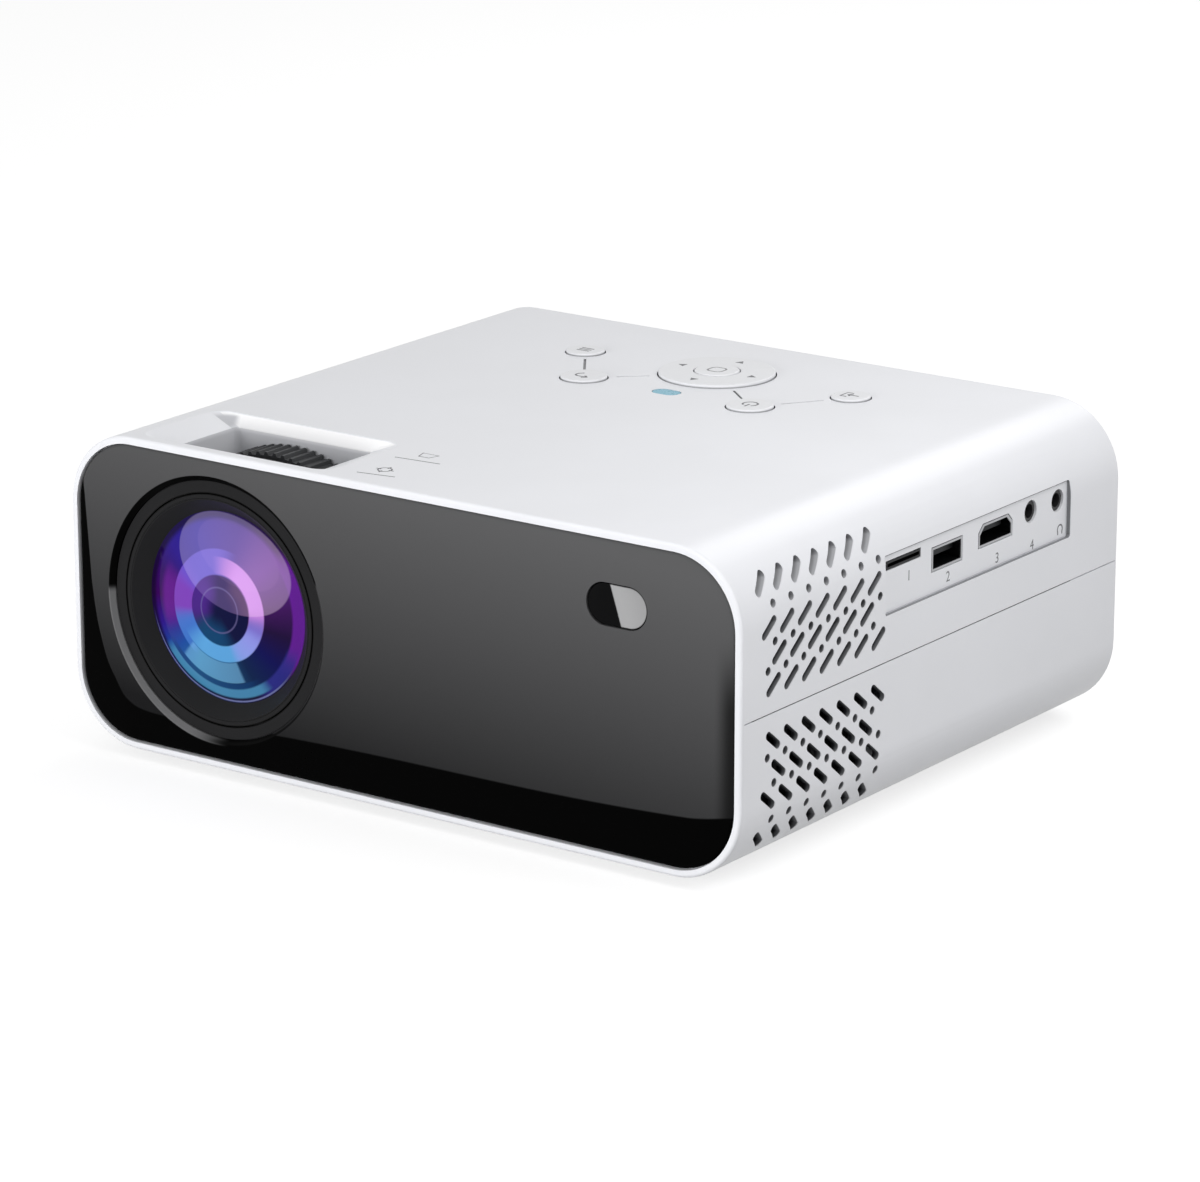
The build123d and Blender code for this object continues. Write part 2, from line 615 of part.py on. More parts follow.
def upper_casing():
    casing = casing_sleeve() & half_space(MID_Z + SEAM_GAP / 2, TOP_Z)
    casing += well_body(WELL_WALL, WELL_WALL) & slab_y(profile(WALL / 2), PANEL_BACK_Y + FIT, BACK_Y)
    casing -= well_body(0, 0) + rod_y(MOUNT_RADIUS + AIR, PANEL_BACK_Y, ENGINE_FRONT_Y)
    casing -= rod_y(BEZEL_FLANGE_RADIUS + FIT, PANEL_BACK_Y, WELL_FRONT_Y)
    casing -= vents()
    casing -= slab_x(port_face(0), SIDE_X - VENT_CUT, SIDE_X + WALL)
    for x, y, radius in KEY_SPOTS.values():
        casing -= rod_z(radius + KEY_GAP, ROOF_Z - WALL, TOP_Z, x, y)
    casing -= rod_z(NAV_RADIUS + KEY_GAP, ROOF_Z - WALL, TOP_Z, 0, NAV_Y)
    casing -= slab_z(indicator_face(FIT), ROOF_Z - WALL, TOP_Z)
    nav = (0, NAV_Y)
    for side in ("left", "right"):
        far_x, far_y, far_radius = KEY_SPOTS[f"key_{side}_far"]
        near_x, near_y, near_radius = KEY_SPOTS[f"key_{side}_near"]
        casing -= link_line((far_x, far_y), far_radius, (near_x, near_y), near_radius)
        casing -= link_line((near_x, near_y), near_radius, nav, NAV_RADIUS)
    for lug in gimbal_lugs():
        casing += lug
    for x, y in key_board_posts():
        casing += rod_z(KEY_POST_RADIUS, KEY_BOARD_TOP_Z, ROOF_Z + WALL / 2, x, y)
    for x, y in SCREW_SPOTS:
        post = rod_z(SCREW_BOSS_RADIUS, MID_Z + SEAM_GAP / 2, ROOF_Z + WALL / 2, x, y)
        casing += post - rod_z(SCREW_RADIUS + FIT / 4, MID_Z, MID_Z + SCREW_BITE + FIT, x, y)
    return casing


def casing_lip():
    """Lip inside each long wall of the lower half that lines up the upper half."""
    lips = []
    front = SPIGOT_BACK_Y + LIP_ROOT
    back = REAR_PANEL_FRONT_Y - LIP_ROOT
    for side in (-1, 1):
        outer = side * (INNER_X - FIT)
        inner = outer - side * LIP_THICKNESS
        root = side * (INNER_X + WALL / 2)
        limits = (min(inner, outer), max(inner, outer))
        lip = span(limits, (front, back), (MID_Z - LIP_ROOT, MID_Z + LIP_HEIGHT))
        limits = (min(inner, root), max(inner, root))
        lips.append(lip + span(limits, (front, back), (MID_Z - LIP_ROOT, MID_Z - LIP_HEIGHT / 2)))
    return lips


def lower_stands():
    """Posts and ribs on the floor that carry the inner pieces."""
    root = FLOOR_Z - WALL / 2
    stands = [rod_z(STAND_RADIUS, root, ENGINE_BASE_Z, x, y) for x, y in ENGINE_STANDS]
    stands += [rod_z(STAND_RADIUS, root, BOARD_BASE_Z, x, y) for x, y in BOARD_STANDS]
    half = POWER_BOARD_LENGTH / 2 - STAND_RADIUS
    front, back = power_board_y()
    for x in (POWER_BOARD_X - half, POWER_BOARD_X + half):
        for y in (front + STAND_RADIUS, back - STAND_RADIUS):
            stands.append(rod_z(STAND_RADIUS, root, FLOOR_Z + POWER_BOARD_HEIGHT, x, y))
    fan_base = LENS_Z - FAN_SIZE / 2
    fan_middle = (FAN_LEFT_X + FAN_RIGHT_X) / 2
    for end in (-1, 1):
        y = FAN_Y + end * (FAN_SIZE / 2 - RIB)
        limits = (fan_middle - FAN_THICKNESS / 3, fan_middle)
        stands.append(span(limits, (y - RIB / 2, y + RIB / 2), (root, fan_base)))
    speaker_base = LENS_Z - SPEAKER_SIZE / 2
    limits = (-INNER_X + RIB, -INNER_X + RIB + SPEAKER_PLATE + RIB)
    reach = (SPEAKER_Y - SPEAKER_SIZE / 3, SPEAKER_Y + SPEAKER_SIZE / 3)
    stands.append(span(limits, reach, (BASE_Z + CORNER_RADIUS / 3, speaker_base)))
    return stands


def lower_casing():
    casing = casing_sleeve() & half_space(BASE_Z, MID_Z - SEAM_GAP / 2)
    within_wall = slab_y(profile(WALL / 2), FRAME_BACK_Y, BACK_Y)
    for piece in casing_lip() + lower_stands():
        casing += piece & within_wall
    tilt_y = FRONT_Y + TILT_FROM_FRONT
    pocket_top = BASE_Z + TILT_PAD_HEIGHT - FOOT_HEIGHT + TILT_CLEAR + AIR
    casing += rod_z(TILT_PAD_RADIUS + AIR + WALL, FLOOR_Z - WALL / 2, pocket_top + WALL, 0, tilt_y)
    boss_top = TILT_CLEAR + TILT_PAD_HEIGHT + TILT_STEM_LENGTH + AIR
    casing += rod_z(TILT_STEM_RADIUS + TILT_BOSS_WALL, FLOOR_Z, boss_top, 0, tilt_y)
    casing -= rod_z(TILT_PAD_RADIUS + AIR, BASE_Z, pocket_top, 0, tilt_y)
    casing -= rod_z(TILT_STEM_RADIUS + RUN, BASE_Z, boss_top, 0, tilt_y)
    insert_top = BASE_Z + TRIPOD_INSERT_LENGTH
    casing += rod_z(TRIPOD_INSERT_RADIUS + TRIPOD_BOSS_WALL, FLOOR_Z, insert_top + WALL, 0, TRIPOD_Y)
    casing -= rod_z(TRIPOD_INSERT_RADIUS, BASE_Z, insert_top, 0, TRIPOD_Y)
    for x, y in FOOT_SPOTS:
        casing += rod_z(FOOT_RADIUS + WALL, FLOOR_Z - WALL / 2, FLOOR_Z + FOOT_SEAT, x, y)
        casing -= rod_z(FOOT_RADIUS + FIT, BASE_Z, BASE_Z + FOOT_SEAT, x, y)
    head_z = BASE_Z + SCREW_RECESS
    for x, y in SCREW_SPOTS:
        casing += rod_z(SCREW_BOSS_RADIUS, FLOOR_Z - WALL / 2, MID_Z - SEAM_GAP / 2, x, y)
        casing -= rod_z(SCREW_HEAD_RADIUS + FIT, BASE_Z - WALL, head_z, x, y)
        casing -= rod_z(SCREW_RADIUS + FIT, BASE_Z, MID_Z, x, y)
    return casing - lower_vents()


def front_frame():
    """White rim round the front, with a spigot into the casing and a ledge behind the panel."""
    rim = slab_y(profile(0), FRONT_Y, FRAME_BACK_Y)
    rim = fillet(rim.edges().group_by(Axis.Y)[0], EDGE_ROUND)
    rim -= slab_y(profile(RIM_WIDTH), FRONT_Y, FRAME_BACK_Y)
    rim += hoop(SPIGOT_INSET + FIT, RIM_WIDTH, FRONT_Y + EDGE_ROUND, SPIGOT_BACK_Y)
    rim += hoop(SPIGOT_INSET + FIT, RIM_WIDTH + LEDGE, PANEL_BACK_Y, SPIGOT_BACK_Y)
    return rim - spigot_break(FIT)


def sensor_face(grow):
    spot = (SIDE_X - SENSOR_FROM_SIDE, MID_Z + SENSOR_ABOVE_SEAM)
    return Pos(*spot) * SlotOverall(SENSOR_LENGTH + 2 * grow, SENSOR_HEIGHT + 2 * grow)


def front_panel():
    """Dark panel with a rolled edge, the lens hole and the sensor window's hole."""
    panel = slab_y(profile(RIM_WIDTH + FIT), PANEL_FRONT_Y, PANEL_BACK_Y)
    panel = fillet(panel.edges().group_by(Axis.Y)[0], PANEL_ROLL)
    cone = Pos(LENS_X, PANEL_FRONT_Y + LENS_HOLE_CHAMFER / 2, LENS_Z) * Rot(90, 0, 0)
    cone *= Cone(LENS_HOLE_RADIUS, LENS_HOLE_RADIUS + LENS_HOLE_CHAMFER, LENS_HOLE_CHAMFER)
    panel -= rod_y(LENS_HOLE_RADIUS, PANEL_FRONT_Y, PANEL_BACK_Y) + cone
    return panel - slab_y(sensor_face(0), PANEL_FRONT_Y, PANEL_BACK_Y)


def sensor_window():
    window = slab_y(sensor_face(-FIT), PANEL_FRONT_Y + SENSOR_INSET, PANEL_BACK_Y)
    window = fillet(window.edges().group_by(Axis.Y)[0], SENSOR_INSET)
    return window + slab_y(sensor_face(SENSOR_FLANGE), PANEL_BACK_Y, PANEL_BACK_Y + SENSOR_FLANGE)


def remote_receiver():
    width, depth, height = RECEIVER_SIZE
    x = SIDE_X - SENSOR_FROM_SIDE
    z = MID_Z + SENSOR_ABOVE_SEAM
    front = PANEL_BACK_Y + SENSOR_FLANGE
    across = (x - width / 2, x + width / 2)
    body = span(across, (front + depth / 2, front + depth), (z - height / 2, z + height / 2))
    return body + rod_y(height / 2 - FIT, front, front + depth / 2, x, z)


def rear_panel():
    panel = slab_y(profile(WALL + FIT), REAR_PANEL_FRONT_Y, REAR_PANEL_BACK_Y)
    face = Sketch()
    for column in range(REAR_VENT_COLUMNS):
        shift = (column - (REAR_VENT_COLUMNS - 1) / 2) * (REAR_VENT_LENGTH + REAR_VENT_GAP)
        for row in range(REAR_VENT_ROWS):
            z = MID_Z + (row - (REAR_VENT_ROWS - 1) / 2) * REAR_VENT_PITCH
            face += Pos(REAR_VENT_CENTRE + shift, z) * SlotOverall(REAR_VENT_LENGTH, REAR_VENT_WIDTH)
    panel -= slab_y(face, REAR_PANEL_FRONT_Y, REAR_PANEL_BACK_Y)
    return panel - slab_y(inlet_face(FIT), REAR_PANEL_FRONT_Y, REAR_PANEL_BACK_Y)


def inlet_face(grow):
    width, height = INLET_SIZE
    return Pos(INLET_X, BASE_Z + INLET_HEIGHT) * RectangleRounded(width + 2 * grow, height + 2 * grow, RIB)


def power_inlet():
    """Two-pin mains inlet, open to the back, with a collar behind the rear panel."""
    z = BASE_Z + INLET_HEIGHT
    back = REAR_PANEL_BACK_Y
    body = slab_y(inlet_face(0), back - INLET_DEPTH, back)
    body += slab_y(inlet_face(RIB), REAR_PANEL_FRONT_Y - RIB, REAR_PANEL_FRONT_Y)
    mouth = Pos(INLET_X, z) * RectangleRounded(*INLET_MOUTH, RIB)
    body -= slab_y(mouth, back - INLET_MOUTH_DEPTH, back)
    for side in (-1, 1):
        x = INLET_X + side * INLET_PIN_SPACING / 2
        body += rod_y(INLET_PIN_RADIUS, back - INLET_MOUTH_DEPTH - RIB, back - RIB, x, z)
    return body


def lens_bezel():
    """Trim ring round the barrel, seated behind the front panel."""
    ring = rod_y(BEZEL_RADIUS, BEZEL_FRONT_Y, PANEL_BACK_Y)
    ring += rod_y(BEZEL_FLANGE_RADIUS, PANEL_BACK_Y, BEZEL_BACK_Y)
    return ring - rod_y(BARREL_RADIUS + 2 * RUN, BEZEL_FRONT_Y, BEZEL_BACK_Y)


def focus_angles():
    return [step * 360.0 / FOCUS_PIN_COUNT for step in range(FOCUS_PIN_COUNT)]


def spoke(radius, inner, outer, angle, y):
    """A round spoke out from the lens axis at an angle from straight up."""
    spin = Pos(LENS_X, y, LENS_Z) * Rot(0, angle, 0)
    return spin * Pos(0, 0, (inner + outer) / 2) * Cylinder(radius, outer - inner)


def lens_mount():
    """Fixed tube that guides the barrel and carries both thumb rings."""
    mount = tube_y(MOUNT_RADIUS, MOUNT_BORE, BEZEL_BACK_Y, ENGINE_FRONT_Y)
    mount += tube_y(MOUNT_FLANGE_RADIUS, MOUNT_BORE, FLANGE_FRONT_Y, ENGINE_FRONT_Y)
    width = FOCUS_PIN_RADIUS + FIT
    for angle in focus_angles():
        ends = [
            spoke(width, MOUNT_BORE - MOUNT_WALL, MOUNT_RADIUS + MOUNT_WALL, angle, y)
            for y in (FOCUS_PIN_Y - FOCUS_FORWARD - FIT, FOCUS_PIN_Y + FOCUS_RETRACT + FIT)
        ]
        length = FOCUS_FORWARD + FOCUS_RETRACT + 2 * FIT
        middle_y = FOCUS_PIN_Y + (FOCUS_RETRACT - FOCUS_FORWARD) / 2
        slot = Pos(LENS_X, middle_y, LENS_Z) * Rot(0, angle, 0) * Pos(0, 0, MOUNT_RADIUS)
        mount -= slot * Box(2 * width, length, 4 * MOUNT_WALL)
        for end in ends:
            mount -= end
    return mount


def lens_barrel():
    """Sliding tube with a counterbore for the retainer and a lip behind the rear glass."""
    barrel = rod_y(BARREL_RADIUS, BARREL_FRONT_Y, BARREL_BACK_Y)
    barrel -= rod_y(RETAINER_RADIUS, BARREL_FRONT_Y, RETAINER_BACK_Y)
    barrel -= rod_y(GLASS_RADIUS + FIT / 2, RETAINER_BACK_Y, BARREL_BACK_Y - SPACER_WALL)
    barrel -= rod_y(GLASS_RADIUS - REAR_LIP, BARREL_BACK_Y - SPACER_WALL, BARREL_BACK_Y)
    hole_foot = BARREL_RADIUS - MOUNT_WALL
    for angle in focus_angles():
        barrel -= spoke(FOCUS_PIN_RADIUS, hole_foot, BARREL_RADIUS + WALL, angle, FOCUS_PIN_Y)
    return barrel


def focus_pins():
    inner = BARREL_RADIUS - MOUNT_WALL
    return [spoke(FOCUS_PIN_RADIUS, inner, FOCUS_PIN_TOP, angle, FOCUS_PIN_Y) for angle in focus_angles()]


def lens_retainer():
    """Threaded-in ring with a conical mouth in front of the glass."""
    ring = rod_y(RETAINER_RADIUS - FIT / 2, BARREL_FRONT_Y, RETAINER_BACK_Y)
    cone = Pos(LENS_X, (BARREL_FRONT_Y + RETAINER_BACK_Y) / 2, LENS_Z) * Rot(90, 0, 0)
    mouth = Cone(RETAINER_OPENING, RETAINER_RADIUS - 2 * FIT, RETAINER_THICKNESS)
    return ring - cone * mouth


def dome(radius, rise, base_y, towards):
    """A spherical cap on the lens axis, rising from base_y towards the front (-1) or back (1)."""
    ball = (radius**2 + rise**2) / (2 * rise)
    centre = base_y + towards * (rise - ball)
    sphere = Pos(LENS_X, centre, LENS_Z) * Sphere(ball)
    tip = base_y + towards * rise
    return sphere & rod_y(radius, min(base_y, tip), max(base_y, tip))


def front_lens():
    edge_back = RETAINER_BACK_Y + FRONT_EDGE
    glass = rod_y(GLASS_RADIUS, RETAINER_BACK_Y, edge_back)
    glass += dome(RETAINER_OPENING - FIT, FRONT_DOME, RETAINER_BACK_Y, -1)
    return glass + dome(GLASS_RADIUS - SPACER_WALL - FIT, FRONT_DOME / 2, edge_back, 1)


def lens_stack():
    """Limits along Y of the spacers and glasses behind the front glass."""
    start = RETAINER_BACK_Y + FRONT_EDGE
    end = BARREL_BACK_Y - SPACER_WALL
    spacer = (end - start - MIDDLE_GLASS - REAR_GLASS) / 2
    limits = [start]
    for length in (spacer, MIDDLE_GLASS, spacer, REAR_GLASS):
        limits.append(limits[-1] + length)
    return limits


def spacer_ring(y0, y1):
    return tube_y(GLASS_RADIUS, GLASS_RADIUS - SPACER_WALL, y0, y1)


def concave_glass(y0, y1):
    """Middle glass, hollow on both faces."""
    rise = (y1 - y0) / 4
    reach = GLASS_RADIUS - SPACER_WALL
    return rod_y(GLASS_RADIUS, y0, y1) - dome(reach, rise, y0, 1) - dome(reach, rise, y1, -1)


def convex_glass(y0, y1):
    reach = GLASS_RADIUS - SPACER_WALL - FIT
    return rod_y(GLASS_RADIUS, y0, y1) + dome(reach, (y1 - y0) / 3, y0, -1)


def ribbed_face():
    """Ring outline with ribs along its rim."""
    points = []
    pitch = 2 * pi / RIB_COUNT
    for rib in range(RIB_COUNT):
        start = rib * pitch
        shares = (0, RIB_FLANK, RIB_SHARE - RIB_FLANK, RIB_SHARE)
        for share, radius in zip(shares, (RING_ROOT, RING_RADIUS, RING_RADIUS, RING_ROOT)):
            angle = start + share * pitch
            points.append((LENS_X + radius * sin(angle), LENS_Z + radius * cos(angle)))
    return make_face(Polyline(*points, close=True))


def helical_groove(angle):
    """Path of one focusing pin through the focus ring."""
    margin = degrees((FOCUS_PIN_RADIUS + GROOVE_CLEARANCE) / MOUNT_RADIUS)
    sweep_deg = FOCUS_FORWARD_DEG + FOCUS_BACK_DEG + 2 * margin
    start = radians(angle - FOCUS_FORWARD_DEG - margin)
    start_y = FOCUS_PIN_Y - (FOCUS_FORWARD_DEG + margin) * LEAD_PER_DEG
    floor = MOUNT_RADIUS - MOUNT_WALL / 2
    path = Helix(FOCUS_LEAD, sweep_deg * LEAD_PER_DEG, (floor + GROOVE_TOP) / 2)
    section = Plane(origin=path @ 0, x_dir=(1, 0, 0), z_dir=path % 0)
    width = 2 * (FOCUS_PIN_RADIUS + GROOVE_CLEARANCE)
    groove = sweep(section * Rectangle(GROOVE_TOP - floor, width), path=path, is_frenet=True)
    place = Plane(origin=(LENS_X, start_y, LENS_Z), x_dir=(sin(start), 0, cos(start)), z_dir=(0, 1, 0))
    return place * groove


def focus_ring():
    """Front thumb ring: ribbed band, plain shoulder behind it, helical grooves inside."""
    ring = slab_y(ribbed_face(), FOCUS_FRONT_Y, FOCUS_RIB_BACK_Y)
    ring += rod_y(RING_RADIUS - FOCUS_SHOULDER, FOCUS_RIB_BACK_Y, FOCUS_BACK_Y)
    ring -= rod_y(RING_BORE, FOCUS_FRONT_Y, FOCUS_BACK_Y)
    for angle in focus_angles():
        ring -= helical_groove(angle)
    return ring


def keystone_ring():
    """Rear thumb ring with an ear and pin below for the link."""
    ring = slab_y(ribbed_face(), KEYSTONE_FRONT_Y, KEYSTONE_BACK_Y)
    ring -= rod_y(RING_BORE, KEYSTONE_FRONT_Y, KEYSTONE_BACK_Y)
    ear = span(
        (LENS_X - LINK_EYE_RADIUS, LENS_X + LINK_EYE_RADIUS),
        (KEYSTONE_BACK_Y - EAR_THICKNESS, EAR_BACK_Y),
        (LINK_Z - LINK_EYE_RADIUS, LENS_Z - RING_BORE + FIT),
    )
    ear -= rod_y(RING_BORE, KEYSTONE_FRONT_Y, EAR_BACK_Y)
    return ring + ear + rod_y(LINK_PIN_RADIUS, EAR_BACK_Y, LINK_BACK_Y, LENS_X, LINK_Z)


def keystone_link():
    """Bar with an eye at each end that carries the ring's turn to the display lever."""
    face = Pos((LENS_X + DISPLAY_X) / 2, LINK_Z) * Rectangle(DISPLAY_X - LENS_X, LINK_BAR)
    for x in (LENS_X, DISPLAY_X):
        face += Pos(x, LINK_Z) * Circle(LINK_EYE_RADIUS)
    for x in (LENS_X, DISPLAY_X):
        face -= Pos(x, LINK_Z) * Circle(LINK_PIN_RADIUS + LINK_HOLE_GAP)
    return slab_y(face, LINK_FRONT_Y, LINK_BACK_Y)


def display_sides():
    """Y limits of the display frame between the housing walls."""
    half = DISPLAY_WIDTH / 2 + DISPLAY_BORDER
    return PATH_Y - half, PATH_Y + half


def keystone_lever():
    """Lever on the display's front pivot shaft, outside the optical housing."""
    face = Pos(DISPLAY_X, (LENS_Z + LINK_Z) / 2) * Rot(0, 0, 90)
    arm = slab_y(face * SlotCenterToCenter(KEYSTONE_ARM, LEVER_WIDTH), LEVER_FRONT_Y, LEVER_BACK_Y)
    arm += rod_y(LINK_PIN_RADIUS, LINK_FRONT_Y, LEVER_FRONT_Y, DISPLAY_X, LINK_Z)
    return arm + rod_y(SHAFT_RADIUS, LEVER_BACK_Y, display_sides()[0], DISPLAY_X, LENS_Z)


def display_pivot():
    return rod_y(SHAFT_RADIUS, display_sides()[1], ENGINE_BACK_Y, DISPLAY_X, LENS_Z)


def display_block(width, height, thickness):
    return Pos(DISPLAY_X, PATH_Y, LENS_Z) * Box(thickness, width, height)


def display_frame():
    border = 2 * DISPLAY_BORDER
    frame = display_block(DISPLAY_WIDTH + border, DISPLAY_HEIGHT + border, DISPLAY_FRAME_THICKNESS)
    frame -= display_block(DISPLAY_WIDTH, DISPLAY_HEIGHT, DISPLAY_THICKNESS)
    return frame - display_block(DISPLAY_WIDTH - border, DISPLAY_HEIGHT - border, DISPLAY_FRAME_THICKNESS)


def display_panel():
    return display_block(DISPLAY_WIDTH, DISPLAY_HEIGHT, DISPLAY_THICKNESS)


def engine_plan(grow):
    """Plan of the optical housing's hollow, grown by a wall: a tunnel with a slanted mirror corner."""
    left = ENGINE_LEFT_X + ENGINE_WALL - grow
    right = ENGINE_END_X
    front = PATH_Y - TUNNEL_HALF_WIDTH - grow
    back = PATH_Y + TUNNEL_HALF_WIDTH + grow
    behind = (MIRROR_THICKNESS + grow) * sqrt(2)
    slant_x = LENS_X + back - PATH_Y - behind
    slant_y = PATH_Y + left - LENS_X + behind
    corners = ((left, front), (right, front), (right, back), (slant_x, back), (left, slant_y))
    return make_face(Polyline(*corners, close=True))


def rails(x, thickness):
    """Pairs of upright rails on both tunnel walls that hold a plate."""
    pieces = []
    for side in (-1, 1):
        wall = PATH_Y + side * (TUNNEL_HALF_WIDTH + ENGINE_WALL / 2)
        inner = PATH_Y + side * (TUNNEL_HALF_WIDTH - RAIL)
        reach = (min(wall, inner), max(wall, inner))
        for start in (x - FIT - RAIL, x + thickness + FIT):
            height = (LENS_Z - TUNNEL_HALF_HEIGHT - ENGINE_WALL / 2, ENGINE_RIM_Z)
            pieces.append(span((start, start + RAIL), reach, height))
    return pieces


def plate_starts():
    """First face along X of the two Fresnel plates and the condenser holder."""
    field = DISPLAY_X - FRESNEL_SPACING - FRESNEL_THICKNESS
    collimator = DISPLAY_X + FRESNEL_SPACING
    return field, collimator, CONDENSER_X


def engine_housing():
    housing = slab_z(engine_plan(ENGINE_WALL), ENGINE_BASE_Z, ENGINE_RIM_Z)
    housing -= slab_z(engine_plan(0), ENGINE_BASE_Z + ENGINE_WALL, ENGINE_RIM_Z)
    housing -= rod_y(GLASS_RADIUS, ENGINE_FRONT_Y, ENGINE_FRONT_Y + ENGINE_WALL)
    housing -= rod_y(SHAFT_RADIUS + RUN, ENGINE_FRONT_Y, ENGINE_BACK_Y, DISPLAY_X, LENS_Z)
    thicknesses = (FRESNEL_THICKNESS, FRESNEL_THICKNESS, HOLDER_THICKNESS)
    for x, thickness in zip(plate_starts(), thicknesses):
        for rail in rails(x, thickness):
            housing += rail
    return housing


def engine_lid():
    return slab_z(engine_plan(ENGINE_WALL), ENGINE_RIM_Z, ENGINE_RIM_Z + ENGINE_WALL)


def fold_mirror():
    """Front-silvered mirror at 45 degrees that turns the light towards the lens."""
    place = Pos(LENS_X, PATH_Y, LENS_Z) * Rot(0, 0, 45)
    return place * Pos(0, MIRROR_THICKNESS / 2, 0) * Box(MIRROR_LENGTH, MIRROR_THICKNESS, MIRROR_HEIGHT)


def tunnel_plate(x, thickness):
    floor = LENS_Z - TUNNEL_HALF_HEIGHT
    half = TUNNEL_HALF_WIDTH - FIT
    return span((x, x + thickness), (PATH_Y - half, PATH_Y + half), (floor, ENGINE_RIM_Z - FIT))


def condenser_holder():
    plate = tunnel_plate(CONDENSER_X, HOLDER_THICKNESS)
    hole = rod_x(CONDENSER_RADIUS - RIB, CONDENSER_X, CONDENSER_X + HOLDER_THICKNESS, PATH_Y, LENS_Z)
    return plate - hole


def condenser_lens():
    """Plano-convex glass, flat against its holder."""
    rise = CONDENSER_THICKNESS - RIB
    ball = (CONDENSER_RADIUS**2 + rise**2) / (2 * rise)
    flat = CONDENSER_X - RIB
    sphere = Pos(flat - rise + ball, PATH_Y, LENS_Z) * Sphere(ball)
    cap = sphere & rod_x(CONDENSER_RADIUS, flat - rise, flat, PATH_Y, LENS_Z)
    return cap + rod_x(CONDENSER_RADIUS, flat, CONDENSER_X, PATH_Y, LENS_Z)


def light_source():
    """Copper plate with the round light-emitting area, on the heat sink's face."""
    half = LIGHT_PLATE / 2
    face_x = ENGINE_END_X - LIGHT_PLATE_THICKNESS
    plate = span((face_x, ENGINE_END_X), (PATH_Y - half, PATH_Y + half), (LENS_Z - half, LENS_Z + half))
    return plate + rod_x(LIGHT_SPOT_RADIUS, face_x - LIGHT_SPOT_HEIGHT, face_x, PATH_Y, LENS_Z)


def heat_sink():
    half_y = TUNNEL_HALF_WIDTH + ENGINE_WALL
    half_z = TUNNEL_HALF_HEIGHT + ENGINE_WALL
    depth = (LENS_Z - half_z, LENS_Z + half_z)
    base_x = ENGINE_END_X + SINK_BASE
    sink = span((ENGINE_END_X, base_x), (PATH_Y - half_y, PATH_Y + half_y), depth)
    pitch = (2 * half_y - SINK_FIN_THICKNESS) / (SINK_FINS - 1)
    for fin in range(SINK_FINS):
        start = PATH_Y - half_y + fin * pitch
        sink += span((base_x - RIB, SINK_END_X), (start, start + SINK_FIN_THICKNESS), depth)
    return sink


def fan_frame():
    """Square fan housing with a bearing plate on three arms."""
    half = FAN_SIZE / 2
    frame = slab_x(Pos(FAN_Y, LENS_Z) * RectangleRounded(FAN_SIZE, FAN_SIZE, RIB), FAN_LEFT_X, FAN_RIGHT_X)
    frame -= rod_x(FAN_BORE_RADIUS, FAN_LEFT_X, FAN_RIGHT_X, FAN_Y, LENS_Z)
    plate_x = FAN_LEFT_X + FAN_BACK_PLATE
    frame += rod_x(FAN_HUB_RADIUS, FAN_LEFT_X, plate_x, FAN_Y, LENS_Z)
    for arm in range(3):
        turn = Pos(0, FAN_Y, LENS_Z) * Rot(120.0 * arm, 0, 0)
        reach = FAN_BORE_RADIUS + RIB / 2
        frame += turn * span((FAN_LEFT_X, plate_x), (-RIB / 2, RIB / 2), (FAN_HUB_RADIUS - RIB, reach))
    frame -= rod_x(SHAFT_RADIUS + RUN, FAN_LEFT_X, plate_x, FAN_Y, LENS_Z)
    corner = half - RIB * 2
    for y_side in (-1, 1):
        for z_side in (-1, 1):
            spot = (FAN_Y + y_side * corner, LENS_Z + z_side * corner)
            frame -= rod_x(SHAFT_RADIUS, FAN_LEFT_X, FAN_RIGHT_X, *spot)
    return frame


def fan_rotor():
    """Hub with slanted blades and the shaft that turns in the frame's bearing plate."""
    hub_x = FAN_LEFT_X + FAN_BACK_PLATE + AIR
    end_x = FAN_RIGHT_X - AIR
    rotor = rod_x(FAN_HUB_RADIUS, hub_x, end_x, FAN_Y, LENS_Z)
    middle = (hub_x + end_x) / 2
    tip = FAN_BORE_RADIUS - FAN_TIP_GAP
    blade = Box(FAN_THICKNESS, FAN_BLADE_THICKNESS, tip - FAN_HUB_RADIUS + 2 * RIB)
    for step in range(FAN_BLADES):
        turn = Pos(middle, FAN_Y, LENS_Z) * Rot(step * 360.0 / FAN_BLADES, 0, 0)
        slant = Pos(0, 0, (tip + FAN_HUB_RADIUS) / 2) * Rot(0, 0, FAN_BLADE_ANGLE)
        rotor += turn * slant * blade
    rotor &= rod_x(tip, hub_x, end_x, FAN_Y, LENS_Z)
    return rotor + rod_x(SHAFT_RADIUS, FAN_LEFT_X, hub_x, FAN_Y, LENS_Z)


def socket_spot(spot):
    return PORT_FRONT_Y + spot[0], PORT_BASE_Z + spot[1]


def socket_face(spot, size, grow):
    width, height = size
    return Pos(*socket_spot(spot)) * Rectangle(width + 2 * grow, height + 2 * grow)


def video_face(grow):
    """Video socket outline: a rectangle with its two upper corners cut."""
    width, height = VIDEO_SIZE
    half = width / 2 + grow
    low = -height / 2 - grow
    high = height / 2 + grow
    corners = ((-half, low), (half, low), (half, high - VIDEO_CUT), (half - VIDEO_CUT, high))
    others = ((-half + VIDEO_CUT, high), (-half, high - VIDEO_CUT))
    return Pos(*socket_spot(VIDEO_SPOT)) * make_face(Polyline(*corners, *others, close=True))


